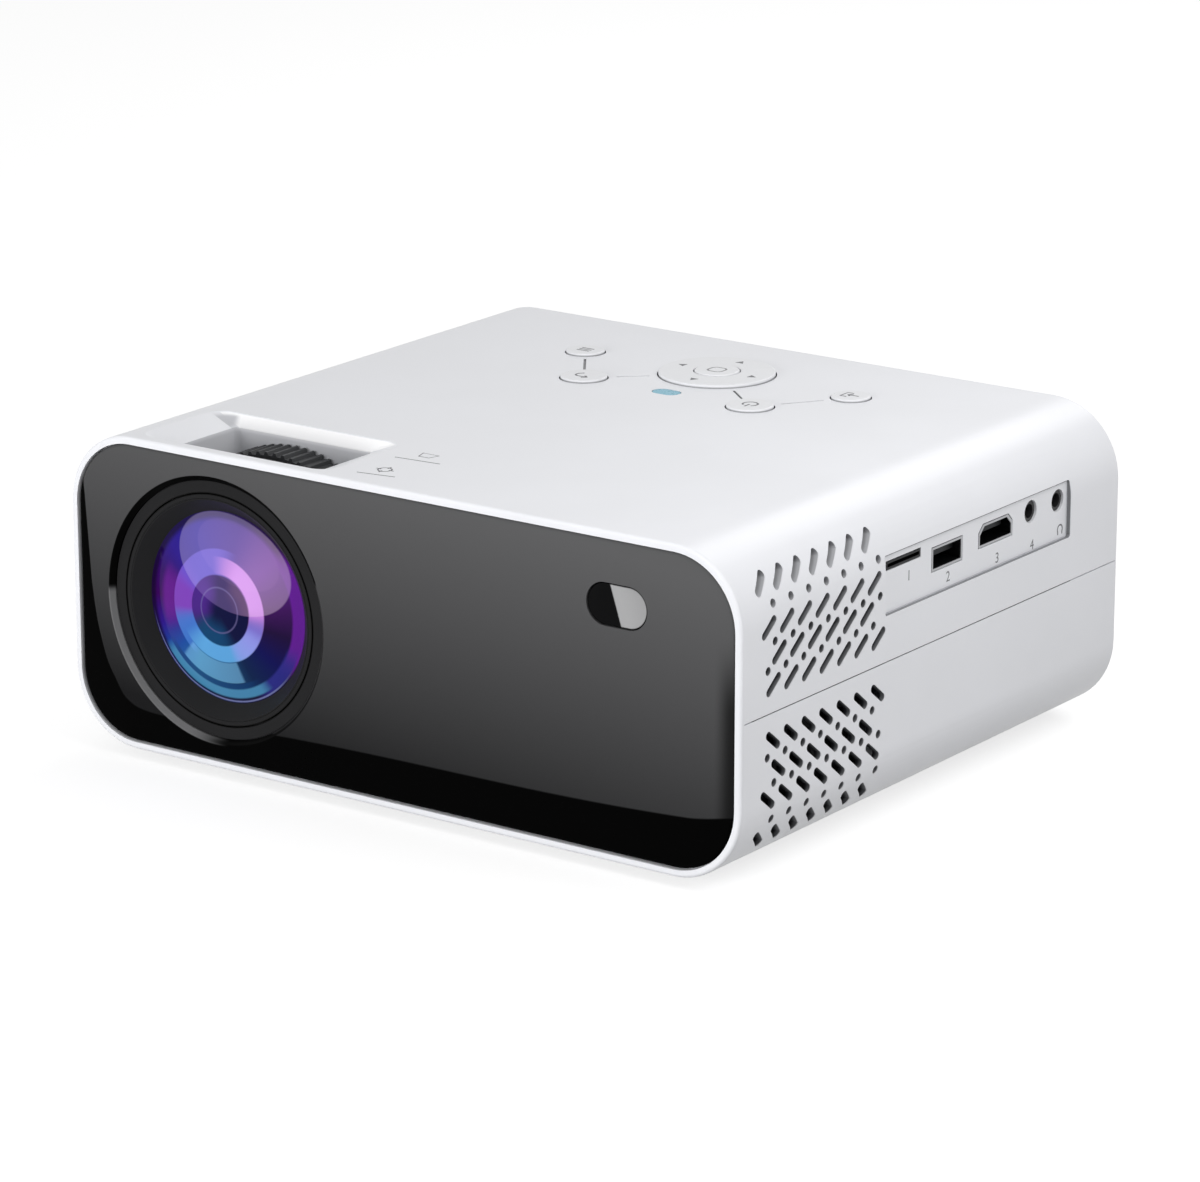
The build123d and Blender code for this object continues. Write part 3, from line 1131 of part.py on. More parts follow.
def socket_body(face, hollow, spot, width, tongue_width):
    """Shell open to the right, with its inner tongue and a base down to the board."""
    back_x = PORT_FACE_X - SOCKET_DEPTH
    y, z = socket_spot(spot)
    body = slab_x(face, back_x, PORT_FACE_X)
    base = (y - width / 2, y + width / 2)
    if z - BOARD_TOP_Z > DATA_SIZE[1] / 2 + FIT:
        body += span((back_x, BOARD_EDGE_X), base, (BOARD_TOP_Z, z))
    body -= slab_x(hollow, back_x + RIB, PORT_FACE_X)
    if tongue_width:
        reach = (y - tongue_width / 2, y + tongue_width / 2)
        body += span((back_x, PORT_FACE_X - RIB), reach, (z, z + SOCKET_TONGUE))
    return body


def card_socket():
    face = socket_face(CARD_SPOT, CARD_SIZE, 0)
    hollow = socket_face(CARD_SPOT, CARD_SIZE, -SOCKET_SHELL)
    return socket_body(face, hollow, CARD_SPOT, CARD_SIZE[0], 0)


def data_socket():
    face = socket_face(DATA_SPOT, DATA_SIZE, 0)
    hollow = socket_face(DATA_SPOT, DATA_SIZE, -SOCKET_SHELL)
    return socket_body(face, hollow, DATA_SPOT, DATA_SIZE[0], DATA_SIZE[0] - 4 * SOCKET_SHELL)


def video_socket():
    tongue = VIDEO_SIZE[0] - 2 * VIDEO_CUT
    return socket_body(video_face(0), video_face(-SOCKET_SHELL), VIDEO_SPOT, VIDEO_SIZE[0], tongue)


def jack(spot):
    """Round audio jack with its barrel in the port plate."""
    y, z = socket_spot(spot)
    back_x = PORT_FACE_X - SOCKET_DEPTH
    body = span((back_x, BOARD_EDGE_X), (y - JACK_BODY / 2, y + JACK_BODY / 2), (BOARD_TOP_Z, z + JACK_ROOF))
    body += rod_x(JACK_BARREL_RADIUS, BOARD_EDGE_X, PORT_FACE_X - SOCKET_SHELL, y, z)
    return body - rod_x(JACK_BORE_RADIUS, back_x, PORT_FACE_X, y, z)


def port_plate():
    """Plate at the bottom of the socket recess, with a flange behind the casing wall."""
    plate = slab_x(port_face(-FIT), PORT_BACK_X, PORT_FACE_X)
    plate += slab_x(port_face(PORT_FLANGE), PORT_BACK_X - PORT_FLANGE_THICKNESS, PORT_BACK_X)
    holes = socket_face(CARD_SPOT, CARD_SIZE, FIT) + socket_face(DATA_SPOT, DATA_SIZE, FIT) + video_face(FIT)
    for spot in (AV_SPOT, PHONES_SPOT):
        holes += Pos(*socket_spot(spot)) * Circle(JACK_HOLE_RADIUS)
    return plate - slab_x(holes, PORT_BACK_X - PORT_FLANGE_THICKNESS, PORT_FACE_X)


def main_board():
    """L-shaped board under the sockets, with a tongue along the right wall."""
    height = (BOARD_BASE_Z, BOARD_TOP_Z)
    board = span((BOARD_LEFT_X, BOARD_EDGE_X), (BOARD_FRONT_Y, BOARD_BACK_Y), height)
    tongue_front = FAN_Y + FAN_SIZE / 2 + AIR
    tongue = (BOARD_EDGE_X - MAIN_BOARD_TONGUE, BOARD_EDGE_X)
    board += span(tongue, (tongue_front, BOARD_FRONT_Y), height)
    return board - rod_z(SCREW_BOSS_RADIUS + AIR, *height, *SCREW_SPOTS[1])


def key(x, y, radius, rise=KEY_RISE, flange_top=ROOF_Z - FIT):
    """Round key cap with a flange under the roof and a stem over its switch."""
    cap = rod_z(radius, flange_top - KEY_FLANGE_THICKNESS, TOP_Z + rise, x, y)
    cap = fillet(cap.edges().group_by(Axis.Z)[-1], KEY_ROUND)
    cap += rod_z(radius + KEY_FLANGE, flange_top - KEY_FLANGE_THICKNESS, flange_top, x, y)
    return cap + rod_z(KEY_STEM_RADIUS, STEM_BASE_Z, flange_top, x, y)


def centre_key():
    return key(0, NAV_Y, CENTRE_KEY_RADIUS, CENTRE_KEY_RISE, PIVOT_Z + GIMBAL_THICKNESS / 2)


def nav_ring():
    """Rocking ring round the centre key, with four posts over its switches."""
    top_z = TOP_Z + NAV_RISE
    flange_z = ROOF_Z - NAV_FLANGE_DROP
    base_z = flange_z - KEY_FLANGE_THICKNESS
    ring = rod_z(NAV_RADIUS, base_z, top_z, 0, NAV_Y)
    ring = fillet(ring.edges().group_by(Axis.Z)[-1], KEY_ROUND)
    ring += rod_z(NAV_RADIUS + KEY_FLANGE, base_z, flange_z, 0, NAV_Y)
    ring -= rod_z(NAV_RADIUS - NAV_SKIRT, base_z, top_z - NAV_PLATE, 0, NAV_Y)
    ring -= rod_z(CENTRE_KEY_RADIUS + KEY_GAP, base_z, top_z, 0, NAV_Y)
    for across, along in NAV_DIRECTIONS:
        x = across * NAV_POST_RADIUS
        y = NAV_Y + along * NAV_POST_RADIUS
        half = NAV_POST / 2 + abs(across) * NAV_PIN_ROOM
        ring += span((x - half, x + half), (y - half, y + half), (STEM_BASE_Z, top_z - NAV_PLATE))
    reach = NAV_RADIUS + LUG_FROM_RING
    ring -= rod_x(GIMBAL_PIN_RADIUS + NAV_PIN_ROOM, -reach, reach, NAV_Y, PIVOT_Z)
    pin_hole = GIMBAL_PIN_RADIUS + GIMBAL_PIN_CLEARANCE
    return ring - rod_y(pin_hole, NAV_Y - NAV_RADIUS, NAV_Y + NAV_RADIUS, 0, PIVOT_Z)


def nav_gimbal():
    """Cardan ring under the navigation ring: pins along X in the roof, along Y in the ring."""
    low = PIVOT_Z - GIMBAL_THICKNESS / 2
    gimbal = rod_z(GIMBAL_OUTER, low, low + GIMBAL_THICKNESS, 0, NAV_Y)
    gimbal -= rod_z(GIMBAL_INNER, low, low + GIMBAL_THICKNESS, 0, NAV_Y)
    root = (GIMBAL_INNER + GIMBAL_OUTER) / 2
    reach_x = NAV_RADIUS + LUG_FROM_RING + GIMBAL_LUG / 2
    reach_y = NAV_POST_RADIUS + NAV_POST / 2
    for side in (-1, 1):
        ends = sorted((side * root, side * reach_x))
        gimbal += rod_x(GIMBAL_PIN_RADIUS, *ends, NAV_Y, PIVOT_Z)
        ends = sorted((NAV_Y + side * root, NAV_Y + side * reach_y))
        gimbal += rod_y(GIMBAL_PIN_RADIUS, *ends, 0, PIVOT_Z)
    return gimbal


def switch_spots():
    spots = [(x, y) for x, y, radius in KEY_SPOTS.values()]
    spots.append((0, NAV_Y))
    for across, along in NAV_DIRECTIONS:
        spots.append((across * NAV_POST_RADIUS, NAV_Y + along * NAV_POST_RADIUS))
    return spots


def key_switches():
    half = SWITCH_SIZE / 2
    body_top = KEY_BOARD_TOP_Z + SWITCH_HEIGHT
    switches = []
    for x, y in switch_spots():
        body = span((x - half, x + half), (y - half, y + half), (KEY_BOARD_TOP_Z, body_top))
        switches.append(body + rod_z(PLUNGER_RADIUS, body_top, PLUNGER_TOP_Z, x, y))
    return switches


def key_board():
    half = KEY_BOARD_LENGTH / 2
    back = BACK_Y - KEY_BOARD_FROM_BACK
    height = (KEY_BOARD_TOP_Z - BOARD_THICKNESS, KEY_BOARD_TOP_Z)
    return span((-half, half), (back - KEY_BOARD_WIDTH, back), height)


def indicator_face(grow):
    size = (INDICATOR_LENGTH + 2 * grow, INDICATOR_WIDTH + 2 * grow)
    return Pos(0, BACK_Y - INDICATOR_FROM_BACK) * SlotOverall(*size)


def indicator_light():
    """Light guide from the key board up to the roof."""
    return slab_z(indicator_face(0), KEY_BOARD_TOP_Z, TOP_Z - INDICATOR_SINK)


def power_board_y():
    return ENGINE_BACK_Y + POWER_BOARD_GAP, BACK_Y - POWER_BOARD_FROM_BACK


def power_board():
    half = POWER_BOARD_LENGTH / 2
    base = FLOOR_Z + POWER_BOARD_HEIGHT
    return span((POWER_BOARD_X - half, POWER_BOARD_X + half), power_board_y(), (base, base + BOARD_THICKNESS))


def power_components():
    """Transformer and two capacitors on the power board."""
    base = FLOOR_Z + POWER_BOARD_HEIGHT + BOARD_THICKNESS
    width, depth, height = TRANSFORMER_SIZE
    front = power_board_y()[0] + RIB
    x = POWER_BOARD_X - width / 2
    pieces = [span((x - width / 2, x + width / 2), (front, front + depth), (base, base + height))]
    for step in range(2):
        x = POWER_BOARD_X + CAPACITOR_RADIUS * (1.5 + 2.4 * step)
        pieces.append(rod_z(CAPACITOR_RADIUS, base, base + CAPACITOR_HEIGHT, x, front + CAPACITOR_RADIUS))
    return pieces


def speaker():
    """Small loudspeaker behind the left vents."""
    left = -INNER_X + RIB
    plate_x = left + SPEAKER_PLATE
    body = slab_x(Pos(SPEAKER_Y, LENS_Z) * RectangleRounded(SPEAKER_SIZE, SPEAKER_SIZE, RIB), left, plate_x)
    neck_x = plate_x + SPEAKER_CONE_DEPTH
    cone = Pos((plate_x + neck_x) / 2, SPEAKER_Y, LENS_Z) * Rot(0, 90, 0)
    body += cone * Cone(SPEAKER_CONE_RADIUS + RIB, SPEAKER_NECK_RADIUS + RIB, SPEAKER_CONE_DEPTH)
    hollow = (SPEAKER_CONE_RADIUS, SPEAKER_NECK_RADIUS, SPEAKER_CONE_DEPTH)
    body -= cone * Cone(*hollow) + rod_x(SPEAKER_CONE_RADIUS, left, plate_x, SPEAKER_Y, LENS_Z)
    return body + rod_x(SPEAKER_MAGNET_RADIUS, neck_x, neck_x + SPEAKER_MAGNET, SPEAKER_Y, LENS_Z)


def rubber_feet():
    feet = []
    for x, y in FOOT_SPOTS:
        foot = rod_z(FOOT_RADIUS, 0, BASE_Z + FOOT_SEAT, x, y)
        feet.append(fillet(foot.edges().group_by(Axis.Z)[0], FOOT_SEAT))
    return feet


def tilt_foot():
    """Screw foot under the front edge, turned out to raise the picture."""
    y = FRONT_Y + TILT_FROM_FRONT
    pad_top = TILT_CLEAR + TILT_PAD_HEIGHT
    pad = rod_z(TILT_PAD_RADIUS, TILT_CLEAR, pad_top, 0, y)
    pad = fillet(pad.edges().group_by(Axis.Z)[0], FOOT_SEAT)
    return pad + rod_z(TILT_STEM_RADIUS, pad_top, pad_top + TILT_STEM_LENGTH, 0, y)


def tripod_insert():
    top = BASE_Z + TRIPOD_INSERT_LENGTH
    insert = rod_z(TRIPOD_INSERT_RADIUS, BASE_Z, top, 0, TRIPOD_Y)
    return insert - rod_z(TRIPOD_BORE_RADIUS, BASE_Z, top, 0, TRIPOD_Y)


def casing_screws():
    """Screws from below that hold the casing halves together."""
    head_z = BASE_Z + SCREW_RECESS
    screws = []
    for x, y in SCREW_SPOTS:
        head = rod_z(SCREW_HEAD_RADIUS, head_z - SCREW_HEAD, head_z, x, y)
        screws.append(head + rod_z(SCREW_RADIUS, head_z, MID_Z + SCREW_BITE, x, y))
    return screws


def parts():
    """Every piece of the projector by name."""
    stack = lens_stack()
    field_x, collimator_x, holder_x = plate_starts()
    pieces = {
        "upper_casing": upper_casing(),
        "lower_casing": lower_casing(),
        "front_frame": front_frame(),
        "front_panel": front_panel(),
        "sensor_window": sensor_window(),
        "remote_receiver": remote_receiver(),
        "rear_panel": rear_panel(),
        "power_inlet": power_inlet(),
        "lens_bezel": lens_bezel(),
        "lens_mount": lens_mount(),
        "lens_barrel": lens_barrel(),
        "lens_retainer": lens_retainer(),
        "front_lens": front_lens(),
        "front_spacer": spacer_ring(stack[0], stack[1]),
        "middle_lens": concave_glass(stack[1], stack[2]),
        "rear_spacer": spacer_ring(stack[2], stack[3]),
        "rear_lens": convex_glass(stack[3], stack[4]),
        "focus_pins": focus_pins(),
        "focus_ring": focus_ring(),
        "keystone_ring": keystone_ring(),
        "keystone_link": keystone_link(),
        "keystone_lever": keystone_lever(),
        "display_pivot": display_pivot(),
        "display_frame": display_frame(),
        "display_panel": display_panel(),
        "engine_housing": engine_housing(),
        "engine_lid": engine_lid(),
        "fold_mirror": fold_mirror(),
        "field_fresnel": tunnel_plate(field_x, FRESNEL_THICKNESS),
        "collimating_fresnel": tunnel_plate(collimator_x, FRESNEL_THICKNESS),
        "condenser_holder": condenser_holder(),
        "condenser_lens": condenser_lens(),
        "light_source": light_source(),
        "heat_sink": heat_sink(),
        "fan_frame": fan_frame(),
        "fan_rotor": fan_rotor(),
        "main_board": main_board(),
        "port_plate": port_plate(),
        "card_socket": card_socket(),
        "data_socket": data_socket(),
        "video_socket": video_socket(),
        "av_jack": jack(AV_SPOT),
        "headphone_jack": jack(PHONES_SPOT),
        "key_board": key_board(),
        "key_switches": key_switches(),
        "centre_key": centre_key(),
        "nav_ring": nav_ring(),
        "nav_gimbal": nav_gimbal(),
        "indicator_light": indicator_light(),
        "power_board": power_board(),
        "power_components": power_components(),
        "speaker": speaker(),
        "rubber_feet": rubber_feet(),
        "tilt_foot": tilt_foot(),
        "tripod_insert": tripod_insert(),
        "casing_screws": casing_screws(),
    }
    for name, (x, y, radius) in KEY_SPOTS.items():
        pieces[name] = key(x, y, radius)
    return pieces


os.makedirs("parts", exist_ok=True)
for name, piece in parts().items():
    solids = piece if isinstance(piece, list) else piece.solids()
    shape = solids[0] if len(solids) == 1 else Compound(children=list(solids))
    shape.label = name
    export_step(shape, f"parts/{name}.step")
    print(name, len(solids), [round(v, 2) for v in shape.bounding_box().size])
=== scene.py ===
# %% [markdown]
# A small home projector, dressed for its portrait. The solids arrive as a fixed frame in metres, with the
# front facing -Y and the table at z = 0. Nothing here moves or reshapes them. The script gives them
# finishes, then adds the small things that are printed, cut or plated on the real object, and lets each one
# ride on the body that carries it.

# %% Load the solids
import json
import math

import bmesh
import bpy
from mathutils import Matrix, Vector


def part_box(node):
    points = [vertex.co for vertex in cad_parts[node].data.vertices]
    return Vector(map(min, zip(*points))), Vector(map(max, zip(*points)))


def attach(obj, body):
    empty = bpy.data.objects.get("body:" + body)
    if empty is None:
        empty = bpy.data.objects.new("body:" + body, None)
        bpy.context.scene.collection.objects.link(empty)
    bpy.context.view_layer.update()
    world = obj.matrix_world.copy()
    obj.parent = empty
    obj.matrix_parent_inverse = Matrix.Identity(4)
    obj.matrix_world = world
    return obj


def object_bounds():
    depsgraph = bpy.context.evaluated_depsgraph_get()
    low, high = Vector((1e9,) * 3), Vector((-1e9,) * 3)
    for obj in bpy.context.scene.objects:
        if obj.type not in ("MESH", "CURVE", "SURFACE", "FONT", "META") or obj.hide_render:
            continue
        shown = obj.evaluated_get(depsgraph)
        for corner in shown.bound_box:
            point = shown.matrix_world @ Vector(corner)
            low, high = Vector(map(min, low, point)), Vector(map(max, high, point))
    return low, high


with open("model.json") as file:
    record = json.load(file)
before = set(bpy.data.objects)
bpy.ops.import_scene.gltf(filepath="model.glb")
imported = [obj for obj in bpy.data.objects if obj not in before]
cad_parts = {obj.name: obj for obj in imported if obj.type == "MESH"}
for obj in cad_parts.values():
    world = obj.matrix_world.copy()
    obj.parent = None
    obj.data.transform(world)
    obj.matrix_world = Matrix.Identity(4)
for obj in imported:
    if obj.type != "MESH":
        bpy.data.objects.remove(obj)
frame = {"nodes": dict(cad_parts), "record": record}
CAD_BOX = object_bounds()
MM = 0.001
nodes = frame["nodes"]


def mm(*lengths):
    """Millimetres as metres."""
    return tuple(length * MM for length in lengths)


print("solids:", len(nodes), "size in mm:", [round(s / MM, 1) for s in CAD_BOX[1] - CAD_BOX[0]])

# %% [markdown]
# The camera stands in front and to the right, a little above the projector, with a long lens that keeps the
# box's edges almost parallel. A camera looks along its own -Z, so the vector that points backwards from the
# subject is tracked by its +Z axis. The numbers come from fitting the body's straight edges.

# %% Camera
EYE = Vector((0.744973, -1.037793, 0.415045))
BACKWARD = Vector((0.5590922, -0.7790822, 0.2836314))
SENSOR_WIDTH = 36.0
FOCAL_LENGTH = 159.94


def link(thing):
    """Puts a new object into the scene."""
    bpy.context.scene.collection.objects.link(thing)
    return thing


def looking(place, backward):
    """The matrix of a camera or lamp that stands at a place with its back along a vector."""
    return Matrix.Translation(place) @ backward.to_track_quat("Z", "Y").to_matrix().to_4x4()


camera = link(bpy.data.objects.new("camera", bpy.data.cameras.new("camera")))
camera.data.sensor_fit = "HORIZONTAL"
camera.data.sensor_width = SENSOR_WIDTH
camera.data.lens = FOCAL_LENGTH
camera.data.clip_start = 0.05
camera.matrix_world = looking(EYE, BACKWARD)
bpy.context.scene.camera = camera
bpy.context.scene.view_settings.view_transform = "Standard"
print("camera distance:", round(EYE.length, 3), "m")

# %% [markdown]
# A material is a small tree of nodes, and a few helpers keep the trees short: one adds a node and fills its
# sockets with numbers or with links, others do a sum, bend a value into a range, or lay one colour over
# another. Screen colours are easier to read off an object than the linear light that a shader works in, so
# one function turns the first into the second.


# %% Node helpers
def node(tree, kind, sockets=None, **settings):
    """Adds one node, and gives each named or numbered input a value or another node's output."""
    made = tree.nodes.new(kind)
    for name, value in settings.items():
        setattr(made, name, value)
    for name, value in (sockets or {}).items():
        if isinstance(value, bpy.types.NodeSocket):
            tree.links.new(value, made.inputs[name])
        else:
            made.inputs[name].default_value = value
    return made


def calc(tree, operation, *values):
    return node(tree, "ShaderNodeMath", dict(enumerate(values)), operation=operation).outputs[0]


def all_of(tree, first, *others):
    """1 only where every mask is 1."""
    for other in others:
        first = calc(tree, "MULTIPLY", first, other)
    return first


def ramp(tree, value, start, end, low=0.0, high=1.0, style="SMOOTHSTEP"):
    """Takes value from start..end to low..high with soft ends, and holds it there outside."""
    sockets = {"Value": value, "From Min": start, "From Max": end, "To Min": low, "To Max": high}
    return node(tree, "ShaderNodeMapRange", sockets, interpolation_type=style).outputs[0]


def screen(red, green, blue):
    """An 8-bit screen colour as linear light."""
    shares = [value / 255 for value in (red, green, blue)]
    light = [s / 12.92 if s < 0.04045 else ((s + 0.055) / 1.055) ** 2.4 for s in shares]
    return [*light, 1.0]


def paint(tree, under, over, mask, blend="MIX"):
    """Lays one colour over another where the mask says so; a tuple is a screen colour."""
    under, over = [screen(*colour) if isinstance(colour, tuple) else colour for colour in (under, over)]
    sockets = {0: mask, 6: under, 7: over}
    return node(tree, "ShaderNodeMix", sockets, data_type="RGBA", blend_type=blend).outputs[2]


print("mid grey is", [round(c, 3) for c in screen(128, 128, 128)])

# %% [markdown]
# The set is a plain white floor in a white world. The floor's own colour gives back soft light and takes
# the shadow, and a lift that only the camera, mirrors and glass can see brings its lit part up to white.
# The world does the same: it is white to look at, and lights the projector less strongly than it looks.
# Seen from below, the floor is clear, so that the underside can be looked at too.

# %% Floor and world
FLOOR_GREY = 0.45
FLOOR_LIFT = 0.72
FLOOR_HALF = 4.0
FLOOR_DROP = 0.03 * MM
SKY_LIGHT = 0.42


def seen(tree):
    """1 for rays that look at the set directly, in a mirror or through glass."""
    path = node(tree, "ShaderNodeLightPath").outputs
    either = calc(tree, "MAXIMUM", path["Is Camera Ray"], path["Is Glossy Ray"])
    return calc(tree, "MAXIMUM", either, path["Is Transmission Ray"])


def floor_paper():
    paper = bpy.data.materials.new("floor_paper")
    paper.use_nodes = True
    tree = paper.node_tree
    shader = tree.nodes["Principled BSDF"]
    shader.inputs["Base Color"].default_value = (FLOOR_GREY, FLOOR_GREY, FLOOR_GREY, 1)
    shader.inputs["Roughness"].default_value = 1.0
    shader.inputs["Specular IOR Level"].default_value = 0.0
    shader.inputs["Emission Color"].default_value = (1, 1, 1, 1)
    tree.links.new(calc(tree, "MULTIPLY", seen(tree), FLOOR_LIFT), shader.inputs["Emission Strength"])
    under = node(tree, "ShaderNodeNewGeometry").outputs["Backfacing"]
    clear = node(tree, "ShaderNodeBsdfTransparent").outputs[0]
    either = node(tree, "ShaderNodeMixShader", {0: under, 1: shader.outputs[0], 2: clear}).outputs[0]
    tree.links.new(either, tree.nodes["Material Output"].inputs["Surface"])
    return paper


def pale_floor():
    mesh = bpy.data.meshes.new("floor")
    shape = bmesh.new()
    level = Matrix.Translation((0, 0, -FLOOR_DROP))
    bmesh.ops.create_grid(shape, x_segments=1, y_segments=1, size=FLOOR_HALF, matrix=level)
    shape.to_mesh(mesh)
    shape.free()
    mesh.materials.append(floor_paper())
    link(bpy.data.objects.new("floor", mesh))


def white_world():
    world = bpy.data.worlds.new("studio")
    world.use_nodes = True
    tree = world.node_tree
    background = tree.nodes["Background"]
    background.inputs["Color"].default_value = (1, 1, 1, 1)
    strength = ramp(tree, seen(tree), 0.0, 1.0, SKY_LIGHT, 1.0, "LINEAR")
    tree.links.new(strength, background.inputs["Strength"])
    bpy.context.scene.world = world


pale_floor()
white_world()
print("floor lift", FLOOR_LIFT, "sky", SKY_LIGHT)

# %% [markdown]
# Three soft lamps shape the box. One hangs close above the right edge, so the long rounding between roof
# and side is the brightest place and the roof falls off to the left. A weak one behind adds a sheen to that
# rounding. The third stands low in front, where it brightens the white rim and the panel without reaching
# the roof. It has no mirror image, because from behind the whole roof would be one white glare.

# %% Lamps
# Each lamp: place, the point it is aimed at, diameter, power in watts, and whether it has a mirror image.
LAMPS = {
    "edge_lamp": ((0.33, -0.03, 0.34), (0.07, 0, 0.06), 0.42, 0.93, True),
    "sheen_lamp": ((-0.08, 0.92, 0.74), (0, 0, 0.05), 0.6, 2.5, True),
    "front_lamp": ((-0.3, -1.3, 0.14), (0, 0, 0.04), 0.8, 17.5, False),
}


def soft_lamp(name, place, aim, size, power, mirrored):
    data = bpy.data.lights.new(name, "AREA")
    data.shape = "DISK"
    data.size = size
    data.energy = power
    lamp = link(bpy.data.objects.new(name, data))
    lamp.matrix_world = looking(place, Vector(place) - Vector(aim))
    lamp.visible_camera = False
    lamp.visible_glossy = mirrored


for name, lamp_row in LAMPS.items():
    soft_lamp(name, *lamp_row)
print("lamps:", ", ".join(LAMPS))

# %% [markdown]
# Most of the projector is moulded plastic. No moulding is one even colour: it drifts a little over a few
# centimetres, its gloss changes from place to place, and the tool leaves a fine grain. One function makes
# that mix for every finish, from a slow noise for the drift and a fine one for the grain. A painted image
# could hold it too, but would have to be unwrapped, and noise is simply measured on the object itself.

# %% Moulded finish
DRIFTS_PER_METRE = 32.0
GRAIN_STRENGTH = 0.5
# Range in which a noise mostly stays, and the range of two of them added up.
NOISE_RANGE = (0.3, 0.7)
NOISE_SUM_RANGE = (0.6, 1.4)


def finish(name, colour, rough, grain, relief, drift, swing=0.05, stretch=(1, 1, 1), **constants):
    """A material with drifting colour, uneven gloss and raised grain; constants go on the shader."""
    material = bpy.data.materials.new(name)
    material.use_nodes = True
    tree = material.node_tree
    shader = tree.nodes["Principled BSDF"]
    for socket, value in constants.items():
        shader.inputs[socket.replace("_", " ")].default_value = value
    place = node(tree, "ShaderNodeTexCoord").outputs["Object"]
    along = node(tree, "ShaderNodeMapping", {"Vector": place, "Scale": stretch}).outputs[0]
    slow_noise = {"Vector": place, "Scale": DRIFTS_PER_METRE, "Detail": 2.0}
    slow = node(tree, "ShaderNodeTexNoise", slow_noise).outputs["Fac"]
    fine_noise = {"Vector": along, "Scale": 1 / (grain * MM), "Detail": 3.0}
    fine = node(tree, "ShaderNodeTexNoise", fine_noise).outputs["Fac"]
    light = screen(*colour)[:3]
    darker = [c * (1 - drift) for c in light] + [1]
    paler = [min(1, c * (1 + drift)) for c in light] + [1]
    tone = paint(tree, darker, paler, ramp(tree, slow, *NOISE_RANGE))
    both = calc(tree, "ADD", fine, slow)
    gloss = ramp(tree, both, *NOISE_SUM_RANGE, rough - swing, rough + swing)
    raised = {"Height": fine, "Strength": GRAIN_STRENGTH, "Distance": relief * MM}
    bump = node(tree, "ShaderNodeBump", raised).outputs[0]
    tree.links.new(tone, shader.inputs["Base Color"])
    tree.links.new(gloss, shader.inputs["Roughness"])
    tree.links.new(bump, shader.inputs["Normal"])
    return material


# Each plastic: screen colour, roughness, grain and relief in millimetres, drift, how strongly it mirrors.
PLASTIC_ROWS = {
    "black_trim": ((30, 30, 31), 0.42, 0.3, 0.006, 0.08, 0.08),
    "ring_rubber": ((50, 51, 53), 0.58, 0.35, 0.012, 0.1, 0.35),
    "housing_black": ((34, 34, 36), 0.7, 0.6, 0.02, 0.12, 0.5),
    "socket_black": ((26, 26, 28), 0.5, 0.4, 0.008, 0.1, 0.5),
    "part_black": ((36, 36, 38), 0.55, 0.5, 0.012, 0.1, 0.5),
    "foot_rubber": ((40, 40, 41), 0.75, 0.3, 0.02, 0.12, 0.25),
}
PLASTICS = {}
for name, (*row, shine) in PLASTIC_ROWS.items():
    PLASTICS[name] = finish(name, *row, Specular_IOR_Level=shine)
print("moulded finishes:", ", ".join(PLASTICS))

# %% [markdown]
# Some paint follows a place: it begins at a height, or at a depth below the outer surface. The shell's
# outline is a rounded rectangle, and the distance from one of those is a short sum, worked out here with
# nodes. Two more helpers open a finish for such paint and close it again.

# %% Paint by place
SHELL_HALF_WIDTH = CAD_BOX[1].x
SHELL_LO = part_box("lower_casing")[0].z
SHELL_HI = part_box("upper_casing")[1].z
SHELL_ROUND = 19 * MM


def opened(material):
    """A finish ready for more paint: its tree, its coordinates by axis, and its colour so far."""
    tree = material.node_tree
    place = tree.nodes["Texture Coordinate"].outputs["Object"]
    axes = node(tree, "ShaderNodeSeparateXYZ", {"Vector": place}).outputs
    return tree, axes, tree.nodes["Principled BSDF"].inputs["Base Color"].links[0].from_socket


def closed(material, tone):
    """The same finish with its new colour."""
    tree = material.node_tree
    tree.links.new(tone, tree.nodes["Principled BSDF"].inputs["Base Color"])
    return material


def past_outline(tree, places, middle, half, corner):
    """Distance out of a rounded rectangle, from two coordinates; less than zero inside it."""
    over = []
    for place, centre, reach in zip(places, middle, half):
        off = calc(tree, "ABSOLUTE", calc(tree, "SUBTRACT", place, centre))
        over.append(calc(tree, "SUBTRACT", off, reach - corner))
    squares = [calc(tree, "POWER", calc(tree, "MAXIMUM", v, 0.0), 2.0) for v in over]
    outside = calc(tree, "SQRT", calc(tree, "ADD", *squares))
    inside = calc(tree, "MINIMUM", calc(tree, "MAXIMUM", *over), 0.0)
    return calc(tree, "SUBTRACT", calc(tree, "ADD", outside, inside), corner)


def within(tree, value, limits):
    low, high = limits
    return all_of(tree, calc(tree, "GREATER_THAN", value, low), calc(tree, "LESS_THAN", value, high))


print("shell from z", round(SHELL_LO / MM, 1), "to", round(SHELL_HI / MM, 1), "mm")

# %% [markdown]
# The white shell gets painted shade and one painted highlight, laid on in coats, each with its place, its
# depth below the outer surface and its colour. Painted shade darkens the vents, so they read as dark slots,
# less so in the top row, where light falls in. Painted shade also greys the step round the sockets, the
# gaps round the keys and the fine grooves between them. The thumb well has a painted highlight on its back
# slope, and painted shade in the corner and inside.

# %% White shell
# Painted shade and highlight, stretches along Y from the front. Left vents are the right ones after a half
# turn.
VENT_SHADE_ZONE = mm(-79.5, -23.8)
PORT_STEP_SHADE_ZONE = mm(-24.2, 61.5)
KEY_GAP_SHADE_ZONE = mm(15.0, 80.0)
WELL_BACK_HIGHLIGHT = mm(-51.4, -49.8)
WELL_CORNER_SHADE = mm(-53.2, -49.8)
WELL_INSIDE_SHADE = mm(-81.0, -49.8)
# Stretches along X: the whole well, and where the painted shade of its corner fades in.
WELL_SPAN = mm(-81.2, -21.8)
CORNER_SHADE_FADE = mm(-72.8, -75.2)
